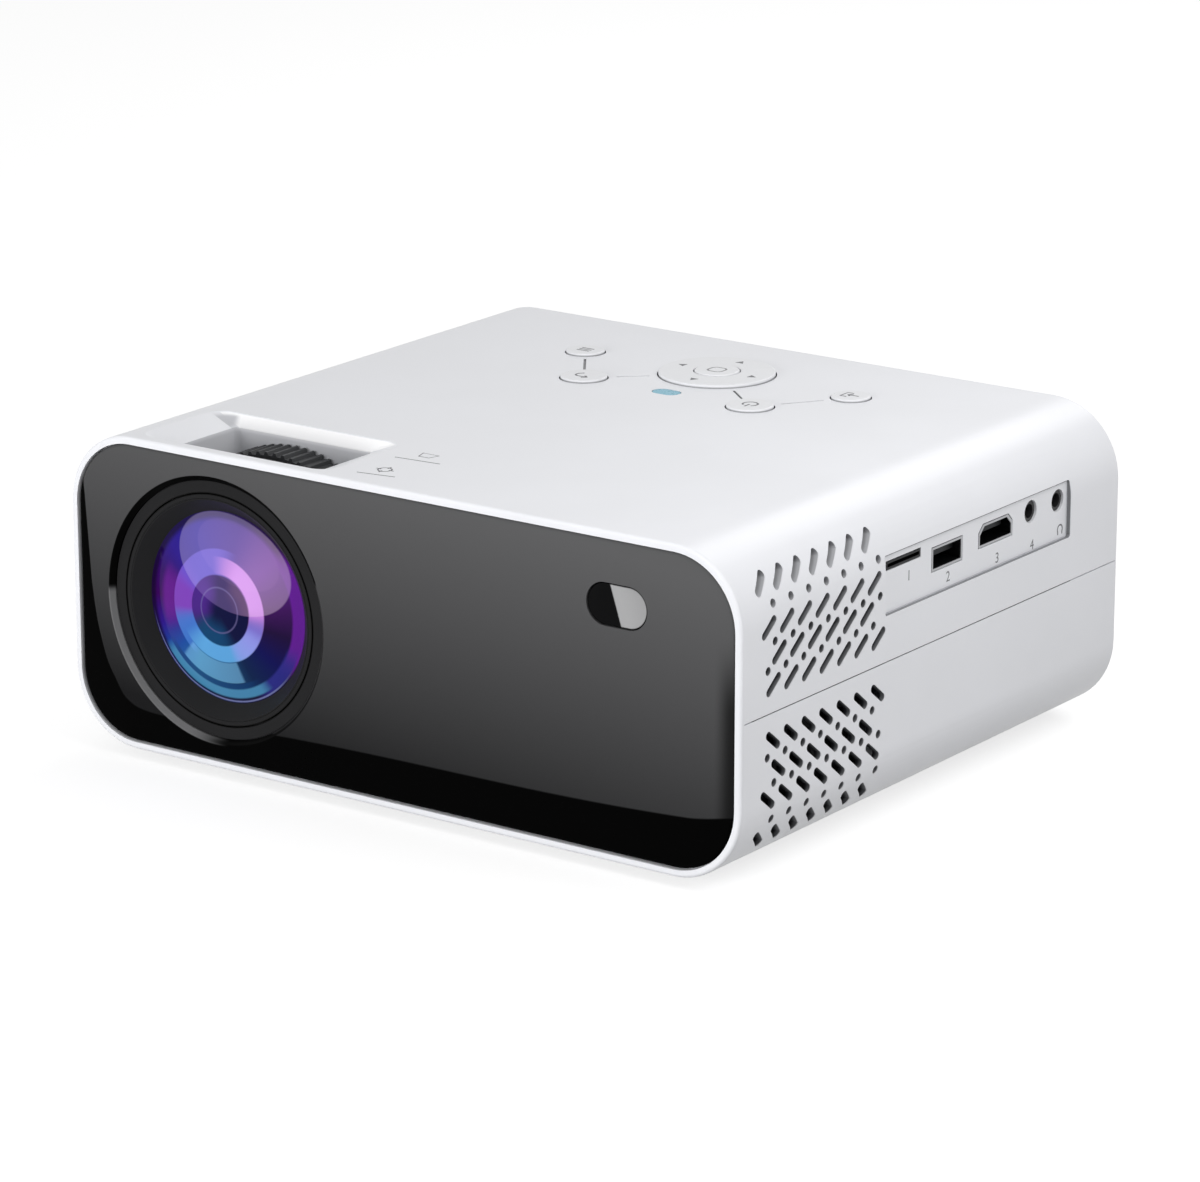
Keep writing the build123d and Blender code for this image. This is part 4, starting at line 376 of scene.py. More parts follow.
# Heights between which the painted shade in the vents deepens, and how strong it is at each.
VENT_SHADE_FADE = (*mm(72, 60), 0.35, 1.0)
PORT_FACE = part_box("port_plate")[1].x + 0.05 * MM
PORT_SHADE_LINE = 0.74 * MM
ANY_DEPTH = 1000


def white_shell():
    material = finish("white_shell", (232, 233, 237), 0.36, 0.5, 0.002, 0.012, Specular_IOR_Level=0.3)
    tree, axes, tone = opened(material)
    middle = (0, (SHELL_LO + SHELL_HI) / 2)
    half = (SHELL_HALF_WIDTH, (SHELL_HI - SHELL_LO) / 2)
    outward = past_outline(tree, (axes["X"], axes["Z"]), middle, half, SHELL_ROUND)
    depth = calc(tree, "MULTIPLY", outward, -1.0)
    off_middle = calc(tree, "ABSOLUTE", axes["X"])
    beside = calc(tree, "GREATER_THAN", off_middle, SHELL_HALF_WIDTH - SHELL_ROUND)
    above = calc(tree, "LESS_THAN", off_middle, SHELL_HALF_WIDTH - 2 * SHELL_ROUND)
    right = calc(tree, "GREATER_THAN", axes["X"], SHELL_HALF_WIDTH - SHELL_ROUND)
    # Masks for the painted shade on the socket step, with a thin painted shade line along the plate's top.
    off_plate = calc(tree, "GREATER_THAN", axes["X"], PORT_FACE)
    at_line = calc(tree, "LESS_THAN", depth, PORT_SHADE_LINE)
    step = all_of(tree, right, calc(tree, "MAXIMUM", off_plate, at_line))
    vents = all_of(tree, beside, ramp(tree, axes["Z"], *VENT_SHADE_FADE))
    well = within(tree, axes["X"], WELL_SPAN)
    corner_shade = all_of(tree, well, ramp(tree, axes["X"], *CORNER_SHADE_FADE))
    along = axes["Y"]
    half_turned = calc(tree, "MULTIPLY", along, calc(tree, "SIGN", axes["X"]))
    # Each painted shade or highlight: place and stretch along Y, side, depths where it begins, is full and
    # ends, colour.
    painted_light_and_shade = (
        # Painted shade in the vents: grey near the outer surface, dark deeper in.
        (half_turned, VENT_SHADE_ZONE, vents, (0.05, 0.3, ANY_DEPTH), (120, 121, 124)),
        (half_turned, VENT_SHADE_ZONE, vents, (0.5, 1.5, ANY_DEPTH), (52, 53, 56)),
        # Painted shade on the step round the sockets.
        (along, PORT_STEP_SHADE_ZONE, step, (0.1, 0.3, 1.2), (128, 129, 132)),
        # Painted shade in the gaps round the keys and in the grooves between them.
        (along, KEY_GAP_SHADE_ZONE, above, (0.1, 0.3, ANY_DEPTH), (112, 113, 116)),
        # Painted highlight on the well's back slope.
        (along, WELL_BACK_HIGHLIGHT, well, (0.1, 0.4, 3.4), (254, 254, 255)),
        # Painted shade in the well's corner.
        (along, WELL_CORNER_SHADE, corner_shade, (0.2, 1.2, 3.4), (196, 197, 201)),
        # Painted shade inside the well.
        (along, WELL_INSIDE_SHADE, well, (3.3, 4.5, ANY_DEPTH), (208, 209, 213)),
    )
    for place, zone, side, depths, colour in painted_light_and_shade:
        begin, full, end = mm(*depths)
        deep = all_of(tree, ramp(tree, depth, begin, full), calc(tree, "LESS_THAN", depth, end))
        tone = paint(tree, tone, colour, all_of(tree, deep, side, within(tree, place, zone)))
    return closed(material, tone)


PLASTICS["white_shell"] = white_shell()
print("shell painted with", len(PLASTICS["white_shell"].node_tree.nodes), "nodes")

# %% [markdown]
# The keys are moulded in the same white, a shade darker, and each gets painted shade at its foot, where it
# goes down into its gap. The centre key has a small rounded square printed on it. The same sum that found
# the shell's
# outline draws it, so it needs no mesh: the line is where the distance from the square is next to nothing.

# %% White keys
KEY_FOOT_SHADE = (SHELL_HI + 0.1 * MM, SHELL_HI + 0.4 * MM)
SQUARE_HALF, SQUARE_CORNER, SQUARE_LINE, SQUARE_SOFT = mm(2.1, 1.4, 0.55, 0.04)


def white_key(name, marked=None):
    """The keys' white, with painted shade at the foot; a marked key has a small square outline on its face.
    """
    material = finish(name, (226, 227, 230), 0.32, 0.4, 0.002, 0.012, Specular_IOR_Level=0.4)
    tree, axes, tone = opened(material)
    # Painted shade on the key's side, just above the roof.
    tone = paint(tree, tone, (168, 169, 172), ramp(tree, axes["Z"], *KEY_FOOT_SHADE, 1.0, 0.0))
    if marked:
        middle = sum(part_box(marked), Vector()) / 2
        halves = (SQUARE_HALF, SQUARE_HALF)
        off_edge = past_outline(tree, (axes["X"], axes["Y"]), middle, halves, SQUARE_CORNER)
        limits = (SQUARE_LINE / 2 + SQUARE_SOFT, SQUARE_LINE / 2 - SQUARE_SOFT)
        tone = paint(tree, tone, (112, 113, 116), ramp(tree, calc(tree, "ABSOLUTE", off_edge), *limits))
    return closed(material, tone)


PLASTICS["white_key"] = white_key("white_key")
CENTRE_KEY = white_key("white_centre_key", "centre_key")
print("square on the centre key:", round(2 * SQUARE_HALF / MM, 1), "mm")

# %% [markdown]
# Metal needs little more than a metallic shader, but drawn and brushed metal has streaks. Squeezing the
# grain along one axis of the object turns its dots into lines. The sockets' steel is blackened, except on
# the bare rims of the two larger ones, which catch the light.

# %% Metals and glass
# Each metal: screen colour, roughness, grain and relief in millimetres, drift, swing of the gloss, stretch.
METAL_ROWS = {
    "socket_steel": ((44, 45, 47), 0.42, 0.5, 0.003, 0.06, 0.08, (0.1, 1, 1)),
    "pin_steel": ((176, 177, 180), 0.28, 0.4, 0.003, 0.05, 0.08, (1, 1, 0.2)),
    "sink_aluminium": ((196, 198, 201), 0.36, 0.6, 0.005, 0.05, 0.1, (0.08, 1, 1)),
    "copper": ((205, 133, 92), 0.34, 0.6, 0.004, 0.12, 0.1),
    "brass_insert": ((203, 170, 98), 0.32, 0.5, 0.004, 0.08, 0.08, (1, 1, 0.15)),
    "gold_contact": ((214, 178, 96), 0.26, 0.4, 0.002, 0.05, 0.06, (0.1, 1, 1)),
    "mirror_glass": ((226, 229, 230), 0.05, 2.0, 0.0005, 0.01, 0.02),
}
METALS = {name: finish(name, *row, Metallic=1.0) for name, row in METAL_ROWS.items()}
CLEAR = {"Transmission_Weight": 1.0, "IOR": 1.5}
MILKY = {"Specular_IOR_Level": 0.3}
GLASS = {
    "clear_glass": finish("clear_glass", (226, 236, 240), 0.04, 3.0, 0.0005, 0.02, 0.02, **CLEAR),
    "indicator_blue": finish("indicator_blue", (112, 178, 200), 0.3, 0.6, 0.006, 0.06, **MILKY),
}
RIM_DEPTHS = mm(0.3, 0.2)


def bare_rim(material, face, begin):
    """Leaves the last fraction of a millimetre before the face bare, from one place along Y onwards."""
    tree, axes, tone = opened(material)
    at_face = ramp(tree, axes["X"], *[face - depth for depth in RIM_DEPTHS])
    rim = all_of(tree, at_face, calc(tree, "GREATER_THAN", axes["Y"], begin))
    closed(material, paint(tree, tone, (164, 165, 168), rim))


bare_rim(METALS["socket_steel"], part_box("data_socket")[1].x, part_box("card_socket")[1].y)
print("metals and glass:", ", ".join([*METALS, *GLASS]))

# %% [markdown]
# Two inner finishes carry a pattern. A circuit board is green lacquer over copper tracks, which show as
# paler lines on a grid, so a brick texture with thin mortar draws them. The display panel is dark glass
# with a very fine grid of pixels.


# %% Boards and display
def lined(name, ground, lines, cell, width, rough):
    """A ground colour crossed by thin lines on a grid of cells, in millimetres."""
    material = finish(name, ground, rough, 0.6, 0.004, 0.08)
    tree, _, tone = opened(material)
    place = tree.nodes["Texture Coordinate"].outputs["Object"]
    grid = {"Vector": place, "Scale": 1.0, "Brick Width": cell * MM, "Row Height": cell * MM / 2}
    mortar = {"Mortar Size": width * MM, "Mortar Smooth": 0.2}
    bricks = node(tree, "ShaderNodeTexBrick", {**grid, **mortar}).outputs["Fac"]
    return closed(material, paint(tree, tone, lines, bricks))


PATTERNED = {
    "circuit_board": lined("circuit_board", (28, 84, 52), (70, 130, 84), 5.0, 0.22, 0.4),
    "display_glass": lined("display_glass", (22, 23, 28), (48, 50, 60), 0.5, 0.04, 0.12),
}
print("patterned finishes:", ", ".join(PATTERNED))

# %% [markdown]
# Much of the front is painted in circles about the lens: painted shade and light on the edge of its hole,
# painted shade in a groove and painted reflections on the glass. All of it is made from three masks, a
# ring, a sector and an oval, in coordinates that start on the lens axis. One class works those coordinates
# out once for a material and then hands out masks.

# %% Circles about the lens
LENS_AXIS = sum(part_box("front_lens"), Vector()) / 2


class Round:
    """Masks about the lens axis, in millimetres and degrees: rings, sectors and ovals."""

    def __init__(self, tree):
        self.tree = tree
        place = tree.nodes["Texture Coordinate"].outputs["Object"]
        shift = [-c / MM for c in LENS_AXIS]
        sockets = {"Vector": place, "Location": shift, "Scale": (1 / MM,) * 3}
        local = node(tree, "ShaderNodeMapping", sockets).outputs[0]
        axes = node(tree, "ShaderNodeSeparateXYZ", {"Vector": local}).outputs
        self.right, self.up = axes["X"], axes["Z"]
        self.angle = calc(tree, "ARCTAN2", self.up, self.right)
        self.reach = self.length(self.right, self.up)

    def length(self, a, b):
        squares = [calc(self.tree, "POWER", side, 2.0) for side in (a, b)]
        return calc(self.tree, "SQRT", calc(self.tree, "ADD", *squares))

    def band(self, inner, outer, soft):
        rise = ramp(self.tree, self.reach, inner - soft, inner + soft)
        fall = ramp(self.tree, self.reach, outer - soft, outer + soft, 1.0, 0.0)
        return all_of(self.tree, rise, fall)

    def sector(self, middle, half, soft):
        turn = calc(self.tree, "COSINE", calc(self.tree, "SUBTRACT", self.angle, math.radians(middle)))
        limits = [math.cos(math.radians(half + side)) for side in (soft, -soft)]
        return ramp(self.tree, turn, *limits)

    def oval(self, centre, half, degrees, soft):
        x = calc(self.tree, "SUBTRACT", self.right, centre[0])
        y = calc(self.tree, "SUBTRACT", self.up, centre[1])
        cos, sin = math.cos(math.radians(degrees)), math.sin(math.radians(degrees))
        sides = []
        for ahead, aside, turn, reach in ((x, y, sin, half[0]), (y, x, -sin, half[1])):
            shift = calc(self.tree, "MULTIPLY", aside, turn / reach)
            sides.append(calc(self.tree, "MULTIPLY_ADD", ahead, cos / reach, shift))
        return ramp(self.tree, self.length(*sides), 1 + soft, 1 - soft)

    def lay(self, tone, colour, share, *masks, blend="MIX"):
        """Lays a screen colour over a tone where all the masks meet."""
        return paint(self.tree, tone, colour, all_of(self.tree, *masks, share), blend)


print("lens axis at", [round(c / MM, 1) for c in LENS_AXIS.xz], "mm")

# %% [markdown]
# The front panel's hole for the lens has a sloping edge. It gets painted shade, black above and a dark line
# at the lower right, and painted light, a grey crescent at the lower left. The edge belongs to the same
# sheet as the panel, so this light and shade is painted as rings in the panel's own material.

# %% Edge of the lens hole
HOLE_EDGE = (30, 34.0)


def lens_hole_light_and_shade(tree, tone):
    """The sloping edge round the lens hole: painted shade above and at the lower right, painted light at
    the lower left.
    """
    rim = Round(tree)
    below = rim.sector(-90, 90, 1.5)
    # Painted shade on the upper part of the edge.
    tone = rim.lay(tone, (2, 2, 2), 1.0, rim.band(HOLE_EDGE[0], 33.9, 0.1), rim.sector(100, 79, 1.5))
    # Painted light, a grey crescent at the lower left.
    tone = rim.lay(tone, (104, 104, 105), 1.0, rim.band(*HOLE_EDGE, 0.15), below, rim.sector(-156, 60, 12))
    # Painted shade, a dark line at the lower right.
    return rim.lay(tone, (8, 8, 8), 0.9, rim.band(33.0, 33.6, 0.12), rim.sector(-30, 60, 8))


print("hole's edge reaches from", HOLE_EDGE[0], "to", HOLE_EDGE[1], "mm")

# %% [markdown]
# The front panel is one glossy graphite sheet. Painted light makes it paler towards the top and a little to
# the right, and it is black along the lower edge, which sweeps up the left side as a thin strip. The border
# between the black and the graphite isn't straight, so a curve node holds its height for every place across
# the panel, and the mask compares each point with it. The right edge, where the sheet bends back, gets
# painted shade.

# %% Front panel
PANEL_LO, PANEL_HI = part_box("front_panel")
# Border of the black tone: place across the panel and height, both in millimetres.
BLACK_BORDER = (
    (-99, 86), (-96.8, 74), (-95.6, 62), (-94.4, 44), (-91.6, 29), (-88, 20.6), (-81, 13.6), (-71, 12.8),
    (-32, 14.6), (85, 17.6), (98, 20),
)
# The curve node works from 0 to 1, so it takes this span across and this height.
CURVE_HALF_SPAN = 100
CURVE_HEIGHT = 100
BORDER_SOFT = 0.25 * MM
# Painted light: the graphite grows paler with height, and a little from left to right too.
PAINTED_LIGHT_HEIGHTS = mm(12, 80)
PAINTED_LIGHT_LEAN = 0.35
PAINTED_LIGHT_RANGE = (0.1, 1.25)
# Painted shade on the right edge: where it fades in across and downwards, and how dark it gets.
EDGE_SHADE = (mm(91.8, 96.8), mm(64, 44), 0.8)


def border_height(tree, across):
    """Height of the black tone's border, for places from 0 to 1 across the panel."""
    curve = node(tree, "ShaderNodeFloatCurve", {"Value": across})
    points = curve.mapping.curves[0].points
    border = [((x / CURVE_HALF_SPAN + 1) / 2, z / CURVE_HEIGHT) for x, z in BLACK_BORDER]
    points[0].location, points[1].location = border[0], border[-1]
    for spot in border[1:-1]:
        points.new(*spot)
    for point in points:
        point.handle_type = "AUTO_CLAMPED"
    curve.mapping.update()
    return calc(tree, "MULTIPLY", curve.outputs[0], CURVE_HEIGHT * MM)


def panel_with_painted_light():
    material = finish("black_panel", (80, 80, 81), 0.3, 0.5, 0.002, 0.0, 0.03, Specular_IOR_Level=0.015)
    tree, axes, _ = opened(material)
    across = ramp(tree, axes["X"], *mm(-CURVE_HALF_SPAN, CURVE_HALF_SPAN), style="LINEAR")
    upward = ramp(tree, axes["Z"], *PAINTED_LIGHT_HEIGHTS, style="LINEAR")
    lift = calc(tree, "ADD", upward, calc(tree, "MULTIPLY", across, PAINTED_LIGHT_LEAN))
    # Painted light: the graphite grows paler upwards and a little to the right.
    graphite_and_painted_light = paint(tree, (27, 27, 28), (91, 91, 92), ramp(tree, lift, *PAINTED_LIGHT_RANGE, style="LINEAR"))
    places, heights, share = EDGE_SHADE
    # Painted shade along the right edge.
    shade = all_of(tree, ramp(tree, axes["X"], *places), ramp(tree, axes["Z"], *heights), share)
    graphite_and_painted_light = paint(tree, graphite_and_painted_light, (6, 6, 6), shade)
    above = calc(tree, "SUBTRACT", axes["Z"], border_height(tree, across))
    tone = paint(tree, (1, 1, 1), graphite_and_painted_light, ramp(tree, above, -BORDER_SOFT, BORDER_SOFT))
    return closed(material, lens_hole_light_and_shade(tree, tone))


PANEL = panel_with_painted_light()
print("panel from", [round(v / MM, 1) for v in PANEL_LO], "to", [round(v / MM, 1) for v in PANEL_HI])

# %% [markdown]
# The lens barrel slides in a fixed collar, and the shade in the narrow gap between them reads as a black
# line round the lens. Both sides of the gap get that line as a thin ring of painted shade, so it stays even
# where light falls into the gap.

# %% Groove round the barrel
GROOVE_SHADE = (28.9, 29.6, 0.05)


def painted_groove_shade(material):
    tree, _, tone = opened(material)
    trim = Round(tree)
    # Painted shade of the gap, as a black ring.
    closed(material, trim.lay(tone, (3, 3, 3), 1.0, trim.band(*GROOVE_SHADE)))


painted_groove_shade(PLASTICS["black_trim"])
print("groove at a radius of", GROOVE_SHADE[0], "to", GROOVE_SHADE[1], "mm")

# %% [markdown]
# Behind the small oval window sits the remote's receiver. The window is smoked black, and on the right a
# painted reflection makes it pale, so a straight, sloping border crosses it.

# %% Sensor window
# Two points of the painted reflection's edge, as X and Z.
REFLECTION_EDGE_TOP = mm(62.8, 70.0)
REFLECTION_EDGE_FOOT = mm(66.2, 59.5)
REFLECTION_EDGE_SOFT = 0.2 * MM
REFLECTION_FADE = mm(1, 9)
WINDOW_LO, WINDOW_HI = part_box("sensor_window")
WINDOW_FLANGE = 1.5 * MM
WINDOW_EDGE = mm(-0.6, -0.3)


def window_border(tree, axes):
    """1 along the window's edge, a slot with round ends, and 0 further in."""
    middle, half = (WINDOW_LO + WINDOW_HI) / 2, (WINDOW_HI - WINDOW_LO) / 2
    seen_half = (half.x - WINDOW_FLANGE, half.z - WINDOW_FLANGE)
    edge = past_outline(tree, (axes["X"], axes["Z"]), (middle.x, middle.z), seen_half, seen_half[1])
    return ramp(tree, edge, *WINDOW_EDGE)


def smoked_window():
    material = finish("sensor_smoke", (5, 5, 6), 0.12, 0.8, 0.001, 0.05, 0.03, Specular_IOR_Level=0.05)
    tree, axes, tone = opened(material)
    slope = (REFLECTION_EDGE_FOOT[0] - REFLECTION_EDGE_TOP[0]) / (REFLECTION_EDGE_FOOT[1] - REFLECTION_EDGE_TOP[1])
    line = calc(tree, "MULTIPLY_ADD", axes["Z"], slope, REFLECTION_EDGE_TOP[0] - slope * REFLECTION_EDGE_TOP[1])
    beyond = calc(tree, "SUBTRACT", axes["X"], line)
    # Painted reflection, a little darker further right.
    painted_reflection = paint(tree, (164, 164, 165), (156, 156, 157), ramp(tree, beyond, *REFLECTION_FADE))
    painted_reflection = paint(tree, painted_reflection, (14, 14, 15), window_border(tree, axes))
    return closed(material, paint(tree, tone, painted_reflection, ramp(tree, beyond, -REFLECTION_EDGE_SOFT, REFLECTION_EDGE_SOFT)))


WINDOW = smoked_window()
print("window with its flange:", [round(v / MM, 1) for v in WINDOW_HI - WINDOW_LO], "mm")

# %% [markdown]
# The front glass is the projector's showpiece. Its coatings throw back coloured light, painted here as
# reflections whose ground colour changes with the direction round the glass, from violet to blue and teal.
# A
# colour ramp bent into a circle holds it: the angle about the lens axis picks a place on the ramp, whose
# two ends are alike, so that no seam shows.

# %% Ground of the painted reflections
# Ground colour of the painted reflections by direction round the glass, in degrees from the right,
# counter-clockwise.
REFLECTION_ROUND = (
    (-180, (54, 6, 84)), (-160, (46, 26, 132)), (-140, (16, 70, 152)), (-118, (34, 100, 146)),
    (-92, (26, 76, 116)), (-62, (8, 32, 72)), (-36, (12, 12, 80)), (-12, (28, 10, 54)), (8, (58, 18, 84)),
    (42, (92, 34, 142)), (78, (62, 34, 134)), (112, (36, 28, 146)), (142, (42, 22, 130)),
    (162, (48, 10, 94)), (180, (54, 6, 84)),
)


def reflection_ground(coat):
    turn = ramp(coat.tree, coat.angle, -math.pi, math.pi, style="LINEAR")
    wheel = node(coat.tree, "ShaderNodeValToRGB", {0: turn})
    stops = wheel.color_ramp.elements
    while len(stops) < len(REFLECTION_ROUND):
        stops.new(0.5)
    for stop, (degrees, colour) in zip(stops, REFLECTION_ROUND):
        stop.position = (degrees + 180) / 360
        stop.color = screen(*colour)
    return wheel.outputs[0]


print("ground colours round the glass:", len(REFLECTION_ROUND))

# %% [markdown]
# Over the ground lie painted reflections: crescents along the rim, rings from the lenses behind the glass,
# and the light of soft lamps, with painted shade at the rim's edge. Real glass would need the real lamps
# and lenses in exactly the right places. Each form is a simple mask of radius and angle about the lens
# axis, so the reflections are painted in layers instead, from the ground up.


# %% Lens coating
def coated_glass():
    material = finish("coated_glass", (60, 40, 120), 0.06, 4.0, 0.0003, 0.02, 0.02, Specular_IOR_Level=0.05)
    coat = Round(material.node_tree)
    lay, band, sector, oval = coat.lay, coat.band, coat.sector, coat.oval
    tone = reflection_ground(coat)
    disc = band(8.6, 15.2, 0.2)
    ring = band(9.1, 13.3, 0.25)
    pupil = band(-2, 8.8, 0.25)
    lamp = oval((3.2, 11.9), (17.6, 11.4), -17, 0.015)
    # Each painted reflection or shade: colour, how much it covers, and the masks that it lies within.
    painted_reflections = (
        # Rim: painted shade at the edge, painted reflections of a violet crescent on the right, a cyan one
        # below, a thin bright line at the bottom.
        ((20, 6, 42), 0.85, band(22.4, 27, 0.9)),
        ((98, 30, 146), 0.9, band(21.0, 24.2, 0.4), sector(4, 36, 10)),
        ((44, 44, 132), 0.85, band(20.6, 23.6, 0.4), sector(-42, 16, 10)),
        ((10, 56, 108), 0.7, band(19.0, 20.5, 0.3), sector(-104, 40, 10)),
        ((70, 134, 174), 0.9, band(20.5, 22.8, 0.3), sector(-100, 44, 6)),
        ((132, 140, 196), 0.6, band(23.5, 23.9, 0.15), sector(-100, 56, 16)),
        # Painted reflections of the second lens: a wide disc, and the brighter ring inside it.
        ((100, 22, 140), 0.8, band(14.8, 19.5, 1.2), sector(178, 16, 14)),
        ((124, 66, 182), 0.9, disc, sector(172, 30, 14)),
        ((98, 84, 200), 0.8, disc, sector(116, 34, 14)),
        ((62, 114, 196), 0.9, disc, sector(-148, 16, 12)),
        ((204, 138, 228), 0.95, ring, sector(36, 44, 24)),
        ((120, 110, 200), 0.95, ring, sector(-30, 18, 16)),
        ((90, 160, 216), 0.95, ring, sector(-92, 42, 18)),
        ((142, 150, 226), 0.8, ring, sector(-46, 14, 16)),
        # Painted reflections in the pupil: violet on the left, navy on the right, teal below, with a thin
        # circle.
        ((8, 12, 56), 1.0, pupil),
        ((74, 36, 134), 0.85, pupil, sector(160, 44, 30), band(3.0, 12, 2.5)),
        ((10, 66, 108), 0.9, pupil, sector(-110, 34, 24), band(4.0, 12, 3.0)),
        ((120, 112, 168), 0.4, band(5.5, 5.9, 0.2)),
    )
    for colour, share, *masks in painted_reflections:
        tone = lay(tone, colour, share, *masks)
    # Painted reflections of lamps come on top: each glint has a colour to add and its masks.
    glints = (
        # Painted highlight below the ring.
        ((80, 124, 156), band(13.5, 18.8, 0.15), sector(-102, 31, 2)),
        # Painted reflection of a lamp: a large oval over the upper half, weaker in the pupil, with a
        # smaller one in it.
        ((72, 58, 95), lamp, pupil),
        ((92, 84, 112), lamp, band(8.8, 40, 0.25)),
        ((80, 54, 52), lamp, sector(24, 30, 24), band(6, 40, 3)),
        ((46, 34, 50), oval((4.6, 14.4), (13.0, 7.2), -20, 0.03)),
    )
    for colour, *masks in glints:
        tone = lay(tone, colour, 1.0, *masks, blend="SCREEN")
    return closed(material, tone)


COATED = coated_glass()
glass_width = (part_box("front_lens")[1] - LENS_AXIS).x * 2
print("glass is", round(glass_width / MM, 1), "mm wide;", len(COATED.node_tree.nodes), "nodes")

# %% [markdown]
# Every solid now gets the finish that its record names. The solids' triangles are loose, so light would
# show each one as a facet on round surfaces. A small Geometry Nodes modifier joins them, and shades the
# surface smooth wherever two faces meet at a low angle, without moving a single point.

# %% Finishes on the solids
CREASE_ANGLE = math.radians(17)
SAME_POINT = 1e-7


def tree_with(name, *numbers, **others):
    """A new Geometry Nodes tree: one geometry in, one out, inputs for numbers, and others by their kind."""
    tree = bpy.data.node_groups.new(name, "GeometryNodeTree")
    for way in ("INPUT", "OUTPUT"):
        tree.interface.new_socket("Geometry", in_out=way, socket_type="NodeSocketGeometry")
    kinds = {**dict.fromkeys(numbers, "Float"), **others}
    for label, kind in kinds.items():
        tree.interface.new_socket(label, in_out="INPUT", socket_type="NodeSocket" + kind)
    return tree, node(tree, "NodeGroupInput").outputs


def smooth_shading():
    tree, come = tree_with("smooth_where_round", "Crease")
    tree.interface.items_tree["Crease"].default_value = CREASE_ANGLE
    welded = {"Geometry": come["Geometry"], "Distance": SAME_POINT}
    whole = node(tree, "GeometryNodeMergeByDistance", welded).outputs[0]
    faces = {"Geometry": whole, "Shade Smooth": True}
    rounded = node(tree, "GeometryNodeSetShadeSmooth", faces, domain="FACE").outputs[0]
    bend = node(tree, "GeometryNodeInputMeshEdgeAngle").outputs["Unsigned Angle"]
    low = node(tree, "FunctionNodeCompare", {0: bend, 1: come["Crease"]}, operation="LESS_THAN").outputs[0]
    edges = {"Geometry": rounded, "Shade Smooth": low}
    eased = node(tree, "GeometryNodeSetShadeSmooth", edges, domain="EDGE").outputs[0]
    node(tree, "NodeGroupOutput", {0: eased})
    return tree


FRONT = {"black_panel": PANEL, "sensor_smoke": WINDOW, "coated_glass": COATED}
FINISHES = {**PLASTICS, **METALS, **GLASS, **PATTERNED, **FRONT}
SMOOTH = smooth_shading()
for row in frame["record"]["subparts"]:
    solid = nodes[row["node"]]
    solid.data.materials.clear()
    solid.data.materials.append(FINISHES[row["material_slot"]])
    solid.modifiers.new("smooth", "NODES").node_group = SMOOTH
nodes["centre_key"].data.materials[0] = CENTRE_KEY

# %% [markdown]
# Most of what is added to the solids from here on repeats or follows a path, so it is grown with Geometry
# Nodes. A tree gets its sizes by name, ends in real geometry with a material, and runs on a few points and
# edges. The result becomes a plain mesh, which is turned right side out and laid on the surface that
# carries it.


# %% Growing a mesh
def end_tree(tree, geometry, material):
    real = node(tree, "GeometryNodeRealizeInstances", {"Geometry": geometry}).outputs[0]
    finished = node(tree, "GeometryNodeSetMaterial", {0: real, "Material": material}).outputs[0]
    node(tree, "NodeGroupOutput", {0: finished})
    return tree


def plain_mesh(source):
    """The mesh that an object's modifiers or letters make; the object itself goes."""
    graph = bpy.context.evaluated_depsgraph_get()
    made = bpy.data.meshes.new_from_object(source.evaluated_get(graph), depsgraph=graph)
    bpy.data.objects.remove(source)
    return made


def grown(name, points, edges, tree, place, **inputs):
    """Runs a tree on points and edges in millimetres, and lays the plain mesh where place says."""
    mesh = bpy.data.meshes.new(name + "_lines")
    mesh.from_pydata([Vector((*point, 0)) * MM for point in points], edges, [])
    source = link(bpy.data.objects.new(name + "_lines", mesh))
    modifier = source.modifiers.new("grow", "NODES")
    modifier.node_group = tree
    for item in tree.interface.items_tree:
        if item.in_out == "INPUT" and item.name in inputs:
            modifier[item.identifier] = inputs[item.name]
    made = plain_mesh(source)
    made.name = name
    shape = bmesh.new()
    shape.from_mesh(made)
    bmesh.ops.recalc_face_normals(shape, faces=shape.faces)
    shape.to_mesh(made)
    shape.free()
    made.transform(place)
    return link(bpy.data.objects.new(name, made))


ONE_POINT = [(0, 0)]
print("a tree without a path grows from", len(ONE_POINT), "point")

# %% [markdown]
# Keys, roof and sockets carry small printed marks in grey ink. A mark is a handful of strokes, and a stroke
# is a path with a width, so each one is drawn as points joined by edges. The tree turns the edges into
# curves and sweeps a flat bar along them, far thinner than a hair.

# %% Printed strokes
INK = finish("grey_ink", (112, 113, 116), 0.6, 0.3, 0.002, 0.06)
INK_THICKNESS = 0.03


def stroke_tree():
    tree, come = tree_with("ink_strokes", "Width", "Thickness", Material="Material")
    path = node(tree, "GeometryNodeMeshToCurve", {0: come["Geometry"]}).outputs[0]
    flat = node(tree, "GeometryNodeSetCurveNormal", {0: path}, mode="Z_UP").outputs[0]
    sizes = {"Width": come["Width"], "Height": come["Thickness"]}
    bar = node(tree, "GeometryNodeCurvePrimitiveQuadrilateral", sizes).outputs[0]
    swept = node(tree, "GeometryNodeCurveToMesh", {0: flat, 1: bar, "Fill Caps": True}).outputs[0]
    return end_tree(tree, swept, come["Material"])


def joined(strokes):
    """Points and edges of several strokes; a stroke that ends where it starts becomes a loop."""
    points, edges = [], []
    for stroke in strokes:
        loop = stroke[0] == stroke[-1]
        first, count = len(points), len(stroke) - loop
        points += stroke[:count]
        edges += [(first + i, first + i + 1) for i in range(count - 1)]
        if loop:
            edges.append((first + count - 1, first))
    return points, edges


